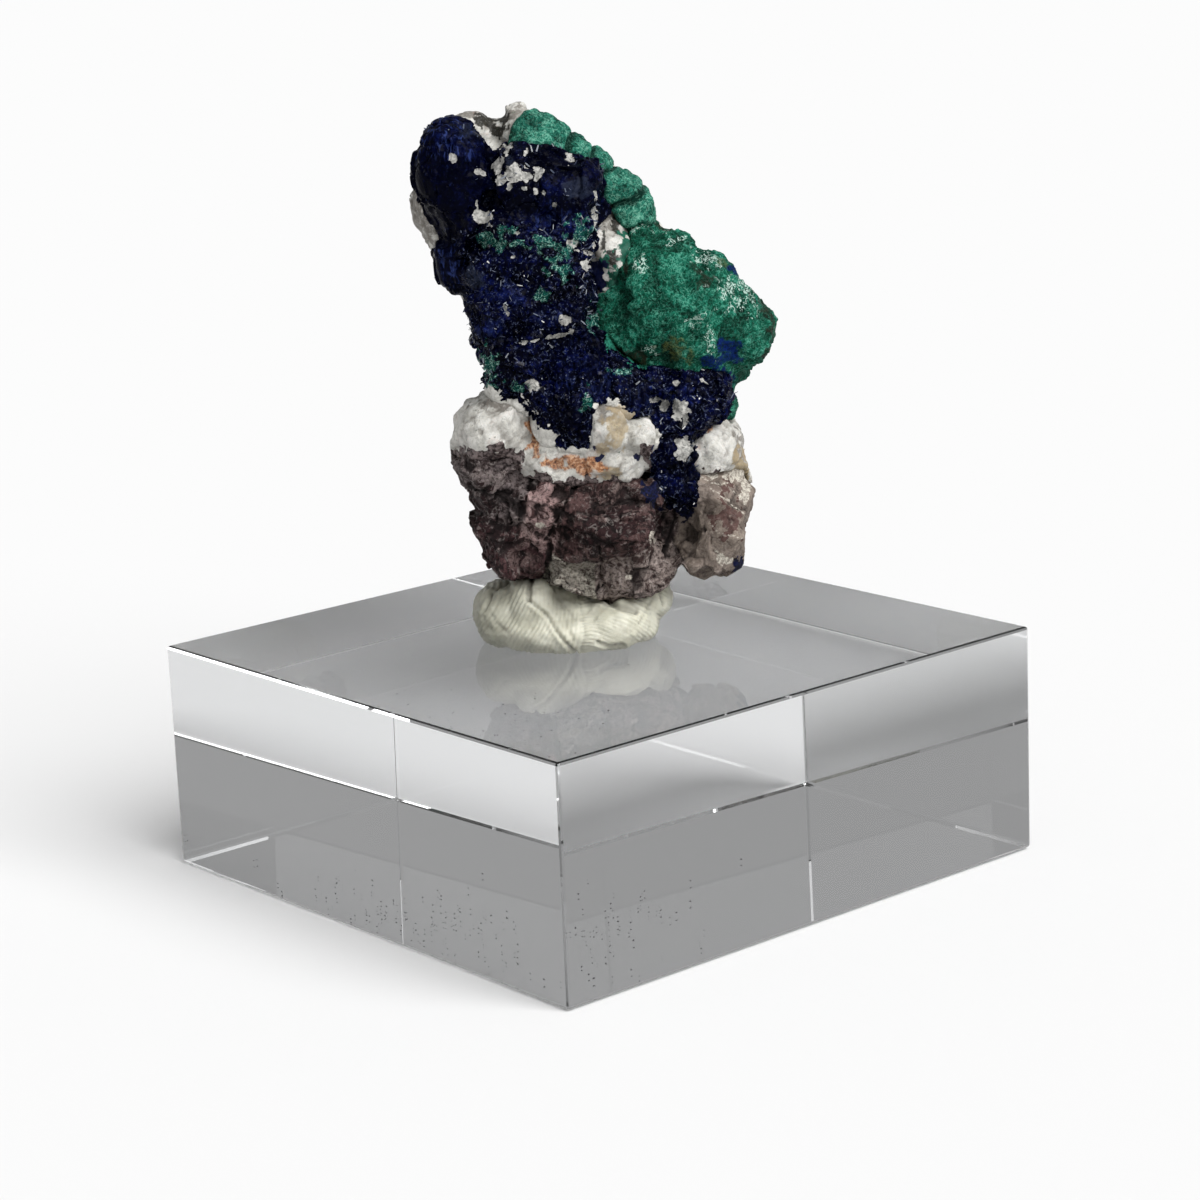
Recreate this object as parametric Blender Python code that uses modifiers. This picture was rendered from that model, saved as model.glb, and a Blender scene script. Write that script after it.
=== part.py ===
"""Azurite and malachite specimen on its rock, pressed into mineral tack on a clear acrylic block.

Metres, +Z up. The origin is the middle of the block's underside, and the block's sides lie along X and Y.
The rock and its minerals are laid out in a frame of their own, in millimetres: x to the right and y away,
as seen facing the azurite, and z up from the middle of the block's top face. SPECIMEN_TURN turns that
frame on the block.
"""

import math
import random

import bmesh
import bpy
from mathutils import Euler, Matrix, Vector, noise
from mathutils.kdtree import KDTree

MM = 0.001

# The display block is 2 x 2 x 3/4 inch cast acrylic with eased edges.
BLOCK_SIDE = 50.8
BLOCK_HEIGHT = 19.05
BLOCK_EDGE = 0.25

# The specimen faces one corner of the block.
SPECIMEN_TURN = math.radians(-40.4)

# Clearance between two pieces that touch in the real object, and under the tack.
GAP = 0.42
TACK_GAP = 0.3

# A solid is thinned to this many triangles before it is cut, and again to its own count after.
CUT_TRIANGLES = 7000
CUTTER_TRIANGLES = 3000

# Surface relief. Soft noise comes in octaves, each finer than the last.
SWELL_OCTAVES = 3
SWELL_LACUNARITY = 2.1
# A flat face reaches over its neighbours as far as the nearest few allow, within part of their spacing.
FACES_COMPARED = 3
FACE_REACH = 0.5
FACE_RISE = 0.1
STEEPEST_FACE = 0.35

# The azurite's blades, in mm or in widths of the blade.
BLADE_COUNT = 110
BLADE_HALF_WIDTHS = (0.9, 1.7)
BLADE_LENGTHS = (1.6, 2.4)
BLADE_FLATNESS = (0.35, 0.6)
BLADE_TIP = 0.6
BLADE_ROOT = 0.35
BLADE_LEAN = 0.9
# Blades root where the surface faces the front or a side, and none so near the middle of the rosette.
BLADE_FACING = 0.4
ROSETTE_REACH = 5.0

# Each lump is (x, y, z, half width, half depth, half height, lean, squareness). The lean is in degrees,
# clockwise from the front. Squareness is 2 for an ellipsoid, and more for a rounded block.
HOST_ROCK = [
    (-8.0, -1.6, 15.3, 1.9, 4.4, 1.6, 4, 4.0),
    (-6.4, -1.6, 13.3, 2.9, 4.6, 2.9, -20, 4.0),
    (-6.1, -0.6, 9.2, 2.9, 4.8, 3.7, -16, 4.0),
    (-3.7, -2.9, 11.3, 1.7, 3.9, 2.9, 10, 4.4),
    (1.5, -2.6, 10.8, 4.3, 4.6, 3.1, -3, 4.4),
    (-1.5, -1.2, 6.3, 2.3, 4.8, 2.4, 10, 4.0),
    (3.4, -1.0, 6.2, 3.6, 4.9, 2.7, -10, 3.6),
    (5.7, 0.4, 11.6, 2.1, 4.4, 3.6, 4, 3.2),
    (-1.0, 3.6, 10.6, 7.0, 3.4, 5.4, 0, 3.4),
    (7.8, 2.4, 9.8, 3.0, 3.2, 4.0, 0, 3.0),
    (9.8, -0.8, 9.6, 2.6, 3.9, 4.3, -6, 2.9),
    (9.4, -0.6, 6.5, 2.1, 2.9, 1.9, -20, 2.6),
    (10.7, -0.4, 6.8, 1.3, 2.2, 1.9, 10, 2.4),
]

# The band over the rock, then the slab behind the azurite, from the bottom up.
WHITE_QUARTZ = [
    (-6.8, -1.4, 18.2, 3.9, 4.6, 2.9, -8, 2.6),
    (-2.4, -2.8, 16.2, 3.4, 4.2, 2.0, 10, 2.6),
    (2.0, -3.0, 16.4, 2.8, 4.4, 2.5, 0, 2.4),
    (5.2, -1.8, 16.4, 2.4, 3.6, 1.8, 0, 2.4),
    (-1.0, 3.0, 18.4, 7.4, 3.8, 3.6, 0, 3.0),
    (10.5, -0.6, 15.4, 2.6, 3.2, 2.6, 16, 2.5),
    (8.2, 1.8, 17.0, 3.4, 3.4, 3.4, 0, 2.6),
    (11.7, 0.0, 11.4, 1.35, 2.6, 3.4, 4, 2.4),
    (-1.8, 2.6, 24.6, 5.9, 4.0, 4.6, -8, 3.0),
    (-3.6, 2.6, 31.0, 6.2, 3.8, 5.2, -10, 3.0),
    (-6.0, 2.2, 37.2, 6.0, 3.4, 5.0, -8, 3.0),
    (-11.6, 0.8, 35.4, 1.7, 2.4, 2.4, -24, 2.6),
    (-8.0, 0.4, 42.3, 1.2, 1.5, 1.4, 20, 2.4),
    (-4.7, 0.4, 42.4, 1.1, 1.5, 2.0, 12, 2.4),
    (2.8, -1.0, 31.4, 1.3, 2.6, 2.8, -8, 2.6),
    (1.2, 2.0, 36.0, 3.0, 2.6, 2.8, -20, 2.6),
    (6.4, 3.6, 24.4, 4.4, 3.2, 6.4, 8, 2.8),
    (3.4, 3.0, 31.0, 4.0, 3.2, 3.6, -20, 2.8),
]

# The rosette comes first, then the main mass downwards, and last the vein beside the right lobe.
AZURITE = [
    (-9.4, -2.2, 38.9, 3.4, 3.6, 4.4, -12, 2.4),
    (-9.7, -1.8, 33.7, 1.6, 2.6, 3.8, 4, 3.4),
    (-6.2, -2.2, 36.6, 2.6, 3.0, 3.6, 0, 2.8),
    (-3.6, -2.9, 38.0, 3.3, 3.4, 3.2, 0, 2.6),
    (-0.7, -2.6, 36.4, 2.8, 3.6, 3.6, 20, 2.8),
    (-3.8, -3.2, 32.8, 5.0, 3.9, 4.2, -4, 3.4),
    (-3.6, -3.6, 27.8, 5.2, 4.1, 4.4, -10, 3.4),
    (-2.4, -3.6, 23.9, 5.2, 3.9, 3.5, -6, 3.2),
    (-1.1, -5.0, 19.9, 2.6, 2.8, 3.1, 6, 2.8),
    (3.2, -3.6, 21.6, 3.7, 3.6, 2.4, 10, 2.8),
    (7.2, -3.2, 20.2, 3.4, 3.4, 2.5, 6, 2.8),
    (10.6, -2.6, 21.4, 1.4, 2.4, 2.7, 14, 2.6),
    (7.1, -3.8, 14.9, 1.9, 2.6, 3.3, -8, 2.8),
]

MALACHITE_LOBE = [
    (6.4, -1.0, 28.2, 4.4, 5.0, 5.4, 6, 2.5),
    (8.9, -0.8, 26.7, 4.5, 5.0, 5.2, -24, 2.5),
    (12.1, 0.0, 25.3, 3.5, 4.4, 3.4, -40, 2.4),
    (11.5, 0.8, 20.8, 1.9, 3.2, 3.2, 14, 2.4),
    (5.2, 0.2, 32.0, 2.3, 3.4, 2.1, -10, 2.4),
]

MALACHITE_NODULES = [
    (-2.4, -0.4, 41.2, 2.5, 2.8, 2.0, 32, 2.6),
    (0.0, -0.2, 40.2, 1.5, 2.4, 1.4, 34, 2.4),
    (1.9, 0.2, 39.1, 1.3, 1.8, 1.3, 0, 2.2),
    (3.7, 0.6, 37.0, 2.0, 2.6, 1.3, 22, 2.8),
    (4.8, 0.8, 35.4, 1.7, 2.6, 1.7, 4, 3.0),
]

# Three folded rolls in front, and the squashed rest behind them.
MINERAL_TACK = [
    (-7.0, -0.2, 2.2, 2.7, 4.4, 2.4, -14, 2.4),
    (-3.4, -1.0, 2.3, 4.0, 4.9, 2.7, 20, 2.6),
    (-0.6, -1.6, 1.5, 3.6, 4.8, 2.1, 12, 2.4),
    (2.6, -0.6, 1.8, 4.0, 4.9, 2.2, -8, 2.5),
    (5.1, 0.6, 2.4, 2.0, 3.9, 1.7, -30, 2.4),
    (-1.4, 2.4, 1.9, 6.6, 4.2, 2.3, 0, 2.4),
]


def clear_scene():
    for obj in list(bpy.data.objects):
        bpy.data.objects.remove(obj)


def new_collection(name):
    collection = bpy.data.collections.new(name)
    bpy.context.scene.collection.children.link(collection)
    return collection


def link_mesh(name, mesh, collection):
    obj = bpy.data.objects.new(name, mesh)
    collection.objects.link(obj)
    return obj


def link_cutter(name, mesh, cutters):
    cutter = link_mesh(name, mesh, cutters)
    cutter.hide_render = True
    cutter.display_type = "WIRE"
    return cutter


def apply_modifiers(obj):
    graph = bpy.context.evaluated_depsgraph_get()
    mesh = bpy.data.meshes.new_from_object(obj.evaluated_get(graph))
    obj.modifiers.clear()
    obj.data = mesh


def remesh(obj, voxel):
    """Fuses all that the object holds into one closed skin."""
    modifier = obj.modifiers.new("fuse", "REMESH")
    modifier.mode = "VOXEL"
    modifier.voxel_size = voxel * MM
    apply_modifiers(obj)


def thin_out(obj, triangles):
    """Reduces the mesh to about that many triangles."""
    obj.modifiers.new("triangles", "TRIANGULATE")
    apply_modifiers(obj)
    if len(obj.data.polygons) > triangles:
        modifier = obj.modifiers.new("reduce", "DECIMATE")
        modifier.ratio = triangles / len(obj.data.polygons)
        apply_modifiers(obj)


def boolean(obj, other):
    """Cuts the other object out of this one."""
    modifier = obj.modifiers.new("cut", "BOOLEAN")
    modifier.operation = "DIFFERENCE"
    modifier.solver = "EXACT"
    modifier.object = other
    apply_modifiers(obj)


def keep_largest_island(obj):
    """Removes the crumbs that a cut leaves loose."""
    bm = bmesh.new()
    bm.from_mesh(obj.data)
    unseen = set(bm.verts)
    islands = []
    while unseen:
        start = unseen.pop()
        stack = [start]
        island = [start]
        while stack:
            for edge in stack.pop().link_edges:
                for vert in edge.verts:
                    if vert in unseen:
                        unseen.remove(vert)
                        island.append(vert)
                        stack.append(vert)
        islands.append(island)
    islands.sort(key=len)
    for island in islands[:-1]:
        bmesh.ops.delete(bm, geom=island, context="VERTS")
    bm.to_mesh(obj.data)
    bm.free()


def add_lump(bm, lump):
    """Adds one lump: a unit ball squared off, stretched, leaned and moved into place."""
    x, y, z, half_width, half_depth, half_height, lean, squareness = lump
    verts = bmesh.ops.create_icosphere(bm, subdivisions=3, radius=1.0)["verts"]
    for vert in verts:
        spread = sum(abs(c) ** squareness for c in vert.co) ** (1 / squareness)
        vert.co /= spread
    place = Matrix.Translation((x, y, z)) @ Matrix.Rotation(math.radians(lean), 4, "Y")
    size = Matrix.Diagonal((half_width, half_depth, half_height, 1.0))
    bmesh.ops.transform(bm, matrix=place @ size, verts=verts)


def fused_lumps(name, lumps, collection, voxel):
    """One closed solid fused from lumps."""
    bm = bmesh.new()
    for lump in lumps:
        add_lump(bm, lump)
    bmesh.ops.scale(bm, vec=(MM, MM, MM), verts=bm.verts)
    mesh = bpy.data.meshes.new(name)
    bm.to_mesh(mesh)
    bm.free()
    obj = link_mesh(name, mesh, collection)
    remesh(obj, voxel)
    return obj


def relax(obj, iterations):
    """Softens the creases where lumps meet."""
    modifier = obj.modifiers.new("relax", "SMOOTH")
    modifier.iterations = iterations
    apply_modifiers(obj)


def push_out(mesh, moves):
    """Moves each vertex along its normal by its own distance."""
    steps = [vert.normal * move for vert, move in zip(mesh.vertices, moves)]
    for vert, step in zip(mesh.vertices, steps):
        vert.co += step


def swell(obj, height, size, shift):
    """Moves the surface in and out by soft noise, height and size in mm."""
    offset = Vector((shift, 2 * shift, -shift))
    spots = [vert.co / (size * MM) + offset for vert in obj.data.vertices]
    lifts = [noise.fractal(spot, 1.0, SWELL_LACUNARITY, SWELL_OCTAVES) for spot in spots]
    push_out(obj.data, [height * MM * lift for lift in lifts])


def point_tree(points):
    tree = KDTree(len(points))
    for index, point in enumerate(points):
        tree.insert(point, index)
    tree.balance()
    return tree


def random_lean(rng, most):
    return Vector([rng.uniform(-most, most) for _ in range(3)])


def flat_faces(mesh, spacing, tilt, rng):
    """Points spread over the surface, each with the leaning normal of the flat face that grew there."""
    tree = point_tree([vert.co for vert in mesh.vertices])
    order = list(mesh.vertices)
    rng.shuffle(order)
    covered = set()
    faces = []
    for vert in order:
        if vert.index not in covered:
            covered.update(index for _, index, _ in tree.find_range(vert.co, spacing * MM))
            normal = (vert.normal + random_lean(rng, tilt)).normalized()
            rise = rng.uniform(-FACE_RISE, FACE_RISE) * spacing * MM
            faces.append((vert.co + vert.normal * rise, normal))
    return faces


def facet(obj, spacing, tilt, seed, outermost, voxel=0.3):
    """Breaks the surface into flat faces about spacing mm apart, the outermost or innermost winning."""
    mesh = obj.data
    faces = flat_faces(mesh, spacing, tilt, random.Random(seed))
    tree = point_tree([spot for spot, _ in faces])
    pick = max if outermost else min
    limit = FACE_REACH * spacing * MM
    moves = []
    for vert in mesh.vertices:
        heights = []
        for spot, index, _ in tree.find_n(vert.co, FACES_COMPARED):
            normal = faces[index][1]
            slope = max(normal.dot(vert.normal), STEEPEST_FACE)
            heights.append(normal.dot(spot - vert.co) / slope)
        moves.append(max(-limit, min(limit, pick(heights))))
    middle = sum(moves) / len(moves)
    push_out(mesh, [move - middle for move in moves])
    remesh(obj, voxel)


def grown_copy(obj, cutters):
    """A cutter that stands proud of the object by the clearance."""
    cutter = link_cutter("around_" + obj.name, obj.data.copy(), cutters)
    remesh(cutter, 0.3)
    push_out(cutter.data, [GAP * MM] * len(cutter.data.vertices))
    remesh(cutter, 0.35)
    thin_out(cutter, CUTTER_TRIANGLES)
    return cutter


def cut_clear(obj, others, cutters, triangles, voxel=0.35):
    """Cuts the object back so that it stands clear of each of the others."""
    thin_out(obj, CUT_TRIANGLES)
    for other in others:
        boolean(obj, grown_copy(other, cutters))
    remesh(obj, voxel)
    keep_largest_island(obj)
    thin_out(obj, triangles)


def add_blade(bm, foot, direction, half_width, rng):
    """Adds one bladed crystal: a six-sided prism flattened across one side, narrowing to its tip."""
    length = half_width * rng.uniform(*BLADE_LENGTHS)
    verts = bmesh.ops.create_cone(
        bm, cap_ends=True, segments=6, radius1=half_width, radius2=half_width * BLADE_TIP, depth=length
    )["verts"]
    flatten = Matrix.Diagonal((1.0, rng.uniform(*BLADE_FLATNESS), 1.0, 1.0))
    spin = Matrix.Rotation(rng.uniform(0, math.tau), 4, "Z")
    turn = direction.to_track_quat("Z", "Y").to_matrix().to_4x4()
    bmesh.ops.transform(bm, matrix=Matrix.Translation(foot) @ turn @ spin @ flatten, verts=verts)


def grow_blades(obj, seed, voxel):
    """Fuses short bladed crystals to the front and sides, all but the smooth rosette."""
    rng = random.Random(seed)
    rosette = Vector(AZURITE[0][:3]) * MM
    roots = [
        vert for vert in obj.data.vertices
        if vert.normal.y < BLADE_FACING and (vert.co - rosette).length > ROSETTE_REACH * MM
    ]
    bm = bmesh.new()
    for _ in range(BLADE_COUNT):
        root = rng.choice(roots)
        direction = (root.normal + random_lean(rng, BLADE_LEAN)).normalized()
        half_width = rng.uniform(*BLADE_HALF_WIDTHS)
        foot = root.co / MM - root.normal * half_width * BLADE_ROOT
        add_blade(bm, foot, direction, half_width, rng)
    bmesh.ops.scale(bm, vec=(MM, MM, MM), verts=bm.verts)
    bm.from_mesh(obj.data)
    bm.to_mesh(obj.data)
    bm.free()
    remesh(obj, voxel)


def flatten_underside(obj, height, cutters):
    """Cuts the object off flat at that height above the block."""
    bm = bmesh.new()
    bmesh.ops.create_cube(bm, size=BLOCK_SIDE * MM)
    bmesh.ops.translate(bm, vec=(0, 0, (height - BLOCK_SIDE / 2) * MM), verts=bm.verts)
    mesh = bpy.data.meshes.new("below")
    bm.to_mesh(mesh)
    bm.free()
    boolean(obj, link_cutter("below_" + obj.name, mesh, cutters))
    keep_largest_island(obj)


def material(name, colour, roughness):
    made = bpy.data.materials.new(name)
    made.use_nodes = True
    made.diffuse_color = (*colour, 1.0)
    shader = made.node_tree.nodes["Principled BSDF"]
    shader.inputs["Base Color"].default_value = (*colour, 1.0)
    shader.inputs["Roughness"].default_value = roughness
    shader.inputs["Metallic"].default_value = 0.0
    return made


def acrylic_block(collection):
    bpy.ops.mesh.primitive_cube_add(size=1.0)
    block = bpy.context.object
    block.name = "acrylic_block"
    block.data.transform(Matrix.Diagonal((BLOCK_SIDE * MM, BLOCK_SIDE * MM, BLOCK_HEIGHT * MM, 1.0)))
    block.location = (0, 0, BLOCK_HEIGHT * MM / 2)
    for owner in list(block.users_collection):
        owner.objects.unlink(block)
    collection.objects.link(block)
    bevel = block.modifiers.new("eased edges", "BEVEL")
    bevel.width = BLOCK_EDGE * MM
    bevel.segments = 2
    finish = material("clear_acrylic", (0.95, 0.96, 0.96), 0.03)
    finish.node_tree.nodes["Principled BSDF"].inputs["Transmission Weight"].default_value = 1.0
    finish.node_tree.nodes["Principled BSDF"].inputs["IOR"].default_value = 1.49
    block.data.materials.append(finish)
    return block


def host_rock(pieces):
    rock = fused_lumps("host_rock", HOST_ROCK, pieces, voxel=0.4)
    swell(rock, height=0.4, size=5.0, shift=3)
    facet(rock, spacing=2.8, tilt=0.42, seed=5, outermost=False)
    thin_out(rock, 2100)
    rock.data.materials.append(material("purple_brown_rock", (0.12, 0.075, 0.07), 0.85))
    return rock


def white_quartz(pieces, neighbours, cutters):
    quartz = fused_lumps("white_quartz", WHITE_QUARTZ, pieces, voxel=0.4)
    swell(quartz, height=0.35, size=4.0, shift=7)
    facet(quartz, spacing=2.2, tilt=0.35, seed=8, outermost=True)
    cut_clear(quartz, neighbours, cutters, triangles=1700)
    quartz.data.materials.append(material("white_quartz", (0.62, 0.58, 0.52), 0.6))
    return quartz


def malachite_lobe(pieces, neighbours, cutters):
    lobe = fused_lumps("malachite_lobe", MALACHITE_LOBE, pieces, voxel=0.4)
    relax(lobe, 2)
    swell(lobe, height=0.5, size=2.6, shift=2)
    facet(lobe, spacing=2.4, tilt=0.4, seed=3, outermost=True)
    cut_clear(lobe, neighbours, cutters, triangles=900)
    lobe.data.materials.append(material("malachite", (0.03, 0.22, 0.13), 0.6))
    return lobe


def malachite_nodules(pieces, neighbours, cutters):
    nodules = fused_lumps("malachite_nodules", MALACHITE_NODULES, pieces, voxel=0.3)
    swell(nodules, height=0.35, size=1.8, shift=9)
    facet(nodules, spacing=1.6, tilt=0.4, seed=4, outermost=True)
    cut_clear(nodules, neighbours, cutters, triangles=650)
    nodules.data.materials.append(material("pale_malachite", (0.08, 0.36, 0.24), 0.6))
    return nodules


def azurite_crystals(pieces, neighbours, cutters):
    azurite = fused_lumps("azurite_crystals", AZURITE, pieces, voxel=0.3)
    swell(azurite, height=0.4, size=3.2, shift=4)
    facet(azurite, spacing=1.7, tilt=1.0, seed=21, outermost=True, voxel=0.25)
    grow_blades(azurite, seed=11, voxel=0.22)
    cut_clear(azurite, neighbours, cutters, triangles=3600, voxel=0.22)
    azurite.data.materials.append(material("azurite", (0.008, 0.015, 0.16), 0.25))
    return azurite


def mineral_tack(pieces, neighbours, cutters):
    tack = fused_lumps("mineral_tack", MINERAL_TACK, pieces, voxel=0.35)
    cut_clear(tack, neighbours, cutters, triangles=700)
    flatten_underside(tack, TACK_GAP, cutters)
    tack.data.materials.clear()
    tack.data.materials.append(material("mineral_tack", (0.62, 0.62, 0.54), 0.55))
    return tack


def set_on_block(specimen, pieces):
    """Stands the pieces on the block, turned to face its corner."""
    place = bpy.data.objects.new("specimen_place", None)
    place.location = (0, 0, BLOCK_HEIGHT * MM)
    place.rotation_euler = Euler((0, 0, SPECIMEN_TURN))
    pieces.objects.link(place)
    for obj in specimen:
        obj.parent = place


def build():
    clear_scene()
    pieces = new_collection("azurite_malachite_specimen")
    cutters = new_collection("cutters")
    cutters.hide_render = True

    acrylic_block(pieces)
    rock = host_rock(pieces)
    quartz = white_quartz(pieces, [rock], cutters)
    lobe = malachite_lobe(pieces, [rock, quartz], cutters)
    nodules = malachite_nodules(pieces, [quartz, lobe], cutters)
    azurite = azurite_crystals(pieces, [rock, quartz, lobe, nodules], cutters)
    tack = mineral_tack(pieces, [rock], cutters)
    set_on_block([rock, quartz, lobe, nodules, azurite, tack], pieces)


build()
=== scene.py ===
"""Looks for the azurite and malachite specimen on its clear block.

The minerals are shaped in the specimen's own frame, in millimetres: x to the right and y away, as seen facing
the azurite, and z up from the middle of the block's top face. Marks on the front are written in pixels of the
1200 x 1200 photograph, and are laid on the surface through the camera.
"""

import math

import bmesh
import bpy
import numpy as np
from mathutils import Matrix, Vector, noise
from mathutils.kdtree import KDTree


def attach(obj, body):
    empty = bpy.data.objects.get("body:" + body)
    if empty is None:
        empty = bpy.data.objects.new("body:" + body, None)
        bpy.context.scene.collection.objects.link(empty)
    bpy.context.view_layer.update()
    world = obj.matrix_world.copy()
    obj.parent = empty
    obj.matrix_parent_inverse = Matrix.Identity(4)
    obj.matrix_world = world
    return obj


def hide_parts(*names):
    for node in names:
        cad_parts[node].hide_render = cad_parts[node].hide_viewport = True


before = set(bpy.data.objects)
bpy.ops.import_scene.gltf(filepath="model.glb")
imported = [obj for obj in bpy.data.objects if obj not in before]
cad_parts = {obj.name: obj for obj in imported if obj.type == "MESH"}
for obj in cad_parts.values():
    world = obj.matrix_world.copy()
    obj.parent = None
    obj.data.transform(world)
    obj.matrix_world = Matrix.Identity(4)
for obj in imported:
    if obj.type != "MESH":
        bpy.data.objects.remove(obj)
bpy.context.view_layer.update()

MM = 0.001
BLOCK_HEIGHT = 19.05
SPECIMEN_TURN = math.radians(-40.4)

# The camera stands facing the specimen, above the block, in mm from the middle of the block's underside.
CAMERA_SPOT = (0.7213, -261.862, 87.807)
CAMERA_PITCH = math.radians(14.084)
CAMERA_ROLL = math.radians(-2.458)
CAMERA_LENS = 97.88
SENSOR = 36.0
PHOTO_SIDE = 1200
PIXELS_PER_MM = 12.3

# In front, azurite keeps what stands out to this many times its lumps' size, and a share of the rest.
FREE_REACH = 1.08
KEPT_BEYOND = 0.25

# A push shifts what shows near a pixel: (x, y, reach, to the right, down), all in pixels.
PUSHES = [
    (412, 135, 32, 7, 1), (404, 168, 30, 6, 0), (400, 212, 26, 10, 0), (408, 238, 24, 11, 0),
    (455, 328, 24, 14, 0), (498, 108, 16, 6, 6), (477, 375, 22, 6, -3), (450, 415, 36, 4, 0),
    (466, 556, 38, 14, -4), (513, 97, 20, -2, 5), (473, 106, 26, 2, 4), (750, 442, 26, -8, 0),
    (746, 500, 34, 8, 0), (731, 590, 22, 0, -10), (742, 415, 20, -5, 0), (616, 322, 40, -13, 0),
    (752, 391, 20, -18, -2), (720, 252, 24, 4, -6),
]
# The line of the rock's underside as it shows, from left to right, in pixels.
ROCK_UNDERSIDE = [
    (440, 440), (466, 490), (474, 530), (482, 552), (505, 576), (545, 577), (582, 592), (615, 602),
    (652, 592), (668, 582), (679, 562), (684, 562), (690, 573), (704, 580), (722, 577), (742, 567),
    (752, 545),
]

# Each lump is (x, y, z, half width, half depth, half height, lean, squareness), as the solids are laid out.
# A block of rock is its tone and its lumps.
ROCK_BLOCKS = [
    ((0.16, 0.13, 0.128), [
        (-8.0, -1.6, 15.3, 1.9, 4.4, 1.6, 4, 4.0), (-6.4, -1.6, 13.3, 2.9, 4.6, 2.9, -20, 4.0),
    ]),
    ((0.07, 0.03, 0.032), [(-6.1, -0.6, 9.2, 2.9, 4.8, 3.7, -16, 4.0)]),
    ((0.36, 0.24, 0.23), [(-3.7, -2.9, 11.3, 1.7, 3.9, 2.9, 10, 4.4)]),
    ((0.082, 0.044, 0.042), [(1.5, -2.6, 10.8, 4.3, 4.6, 3.1, -3, 4.4)]),
    ((0.37, 0.345, 0.29), [(-1.5, -1.2, 6.3, 2.3, 4.8, 2.4, 10, 4.0)]),
    ((0.28, 0.228, 0.205), [(3.4, -1.0, 6.2, 3.6, 4.9, 2.7, -10, 3.6)]),
    ((0.15, 0.11, 0.105), [(5.7, 0.4, 11.6, 2.1, 4.4, 3.6, 4, 3.2)]),
    ((0.13, 0.105, 0.105), [
        (-1.0, 3.6, 10.6, 7.0, 3.4, 5.4, 0, 3.4), (7.8, 2.4, 9.8, 3.0, 3.2, 4.0, 0, 3.0),
    ]),
    ((0.25, 0.205, 0.17), [
        (9.8, -0.8, 9.6, 2.6, 3.9, 4.3, -6, 2.9), (9.4, -0.6, 6.5, 2.1, 2.9, 1.9, -20, 2.6),
        (10.7, -0.4, 6.8, 1.3, 2.2, 1.9, 10, 2.4),
    ]),
]
# The rounded foot of the right lobe, and the rock over the pink block.
ROCK_LUMPS = [
    (9.0, -0.6, 7.0, 2.3, 2.9, 2.3, -20, 2.4), (10.9, -0.4, 7.6, 1.5, 2.2, 1.9, 10, 2.4),
    (-3.0, -3.2, 13.2, 2.2, 3.4, 1.8, 0, 3.2),
]
# Quartz that bulges out past the azurite: the boulder at the left and two lumps below the azurite's middle.
QUARTZ_LUMPS = [
    (-7.3, -3.7, 18.9, 3.0, 3.9, 2.4, -14, 2.5), (1.9, -4.6, 18.7, 1.75, 3.5, 2.5, 0, 2.6),
    (4.3, -4.4, 17.9, 1.4, 3.3, 1.7, 0, 2.4),
]
# The first two of these are the rosette. Above the given heights, in mm, the azurite is calmer.
AZURITE_LUMPS = [
    (-9.4, -2.2, 38.9, 3.4, 3.6, 4.4, -12, 2.4),
    (-9.7, -1.8, 33.7, 1.6, 2.6, 3.8, 4, 3.4),
    (-6.2, -2.2, 36.6, 2.6, 3.0, 3.6, 0, 2.8),
    (-3.6, -2.9, 38.0, 3.3, 3.4, 3.2, 0, 2.6),
    (-0.7, -2.6, 36.4, 2.8, 3.6, 3.6, 20, 2.8),
    (-3.8, -3.2, 32.8, 5.0, 3.9, 4.2, -4, 3.4),
    (-3.6, -3.6, 27.8, 5.2, 4.1, 4.4, -10, 3.4),
    (-2.4, -3.6, 23.9, 5.2, 3.9, 3.5, -6, 3.2),
    (-1.1, -5.0, 19.9, 2.6, 2.8, 3.1, 6, 2.8),
    (3.2, -3.6, 21.6, 3.7, 3.6, 2.4, 10, 2.8),
    (7.2, -3.2, 20.2, 3.4, 3.4, 2.5, 6, 2.8),
    (10.6, -2.6, 21.4, 1.4, 2.4, 2.7, 14, 2.6),
    (7.1, -3.8, 14.9, 1.9, 2.6, 3.3, -8, 2.8),
]
ROSETTE_LUMPS = 2
CALM_FROM = 33.0
CALM_TO = 36.0
NODULE_LUMPS = [
    (-2.4, -0.4, 41.2, 2.5, 2.8, 2.0, 32, 2.6),
    (0.0, -0.2, 40.2, 1.5, 2.4, 1.4, 34, 2.4),
    (1.9, 0.2, 39.1, 1.3, 1.8, 1.3, 0, 2.2),
    (3.7, 0.6, 37.0, 2.0, 2.6, 1.3, 22, 2.8),
    (4.8, 0.8, 35.4, 1.7, 2.6, 1.7, 4, 3.0),
]
# The pad of tack, then its folded rolls. It ends this far over the block's top face, in mm.
TACK_LIFT = 0.03
TACK_LUMPS = [
    (-1.8, -0.2, 1.6, 7.3, 6.7, 2.2, 1, 2.3),
    (-7.0, -0.2, 2.4, 2.7, 4.4, 2.6, -14, 2.4),
    (-3.4, -1.0, 2.5, 4.0, 4.9, 2.9, 20, 2.6),
    (1.6, -1.3, 1.9, 3.5, 5.4, 2.2, -10, 2.5),
    (3.2, -0.6, 1.5, 2.4, 4.4, 1.6, 0, 2.4),
    (4.9, 0.4, 3.0, 1.9, 3.6, 1.6, -34, 2.4),
    (-1.4, 2.4, 1.9, 6.6, 4.2, 2.3, 0, 2.4),
]
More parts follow.
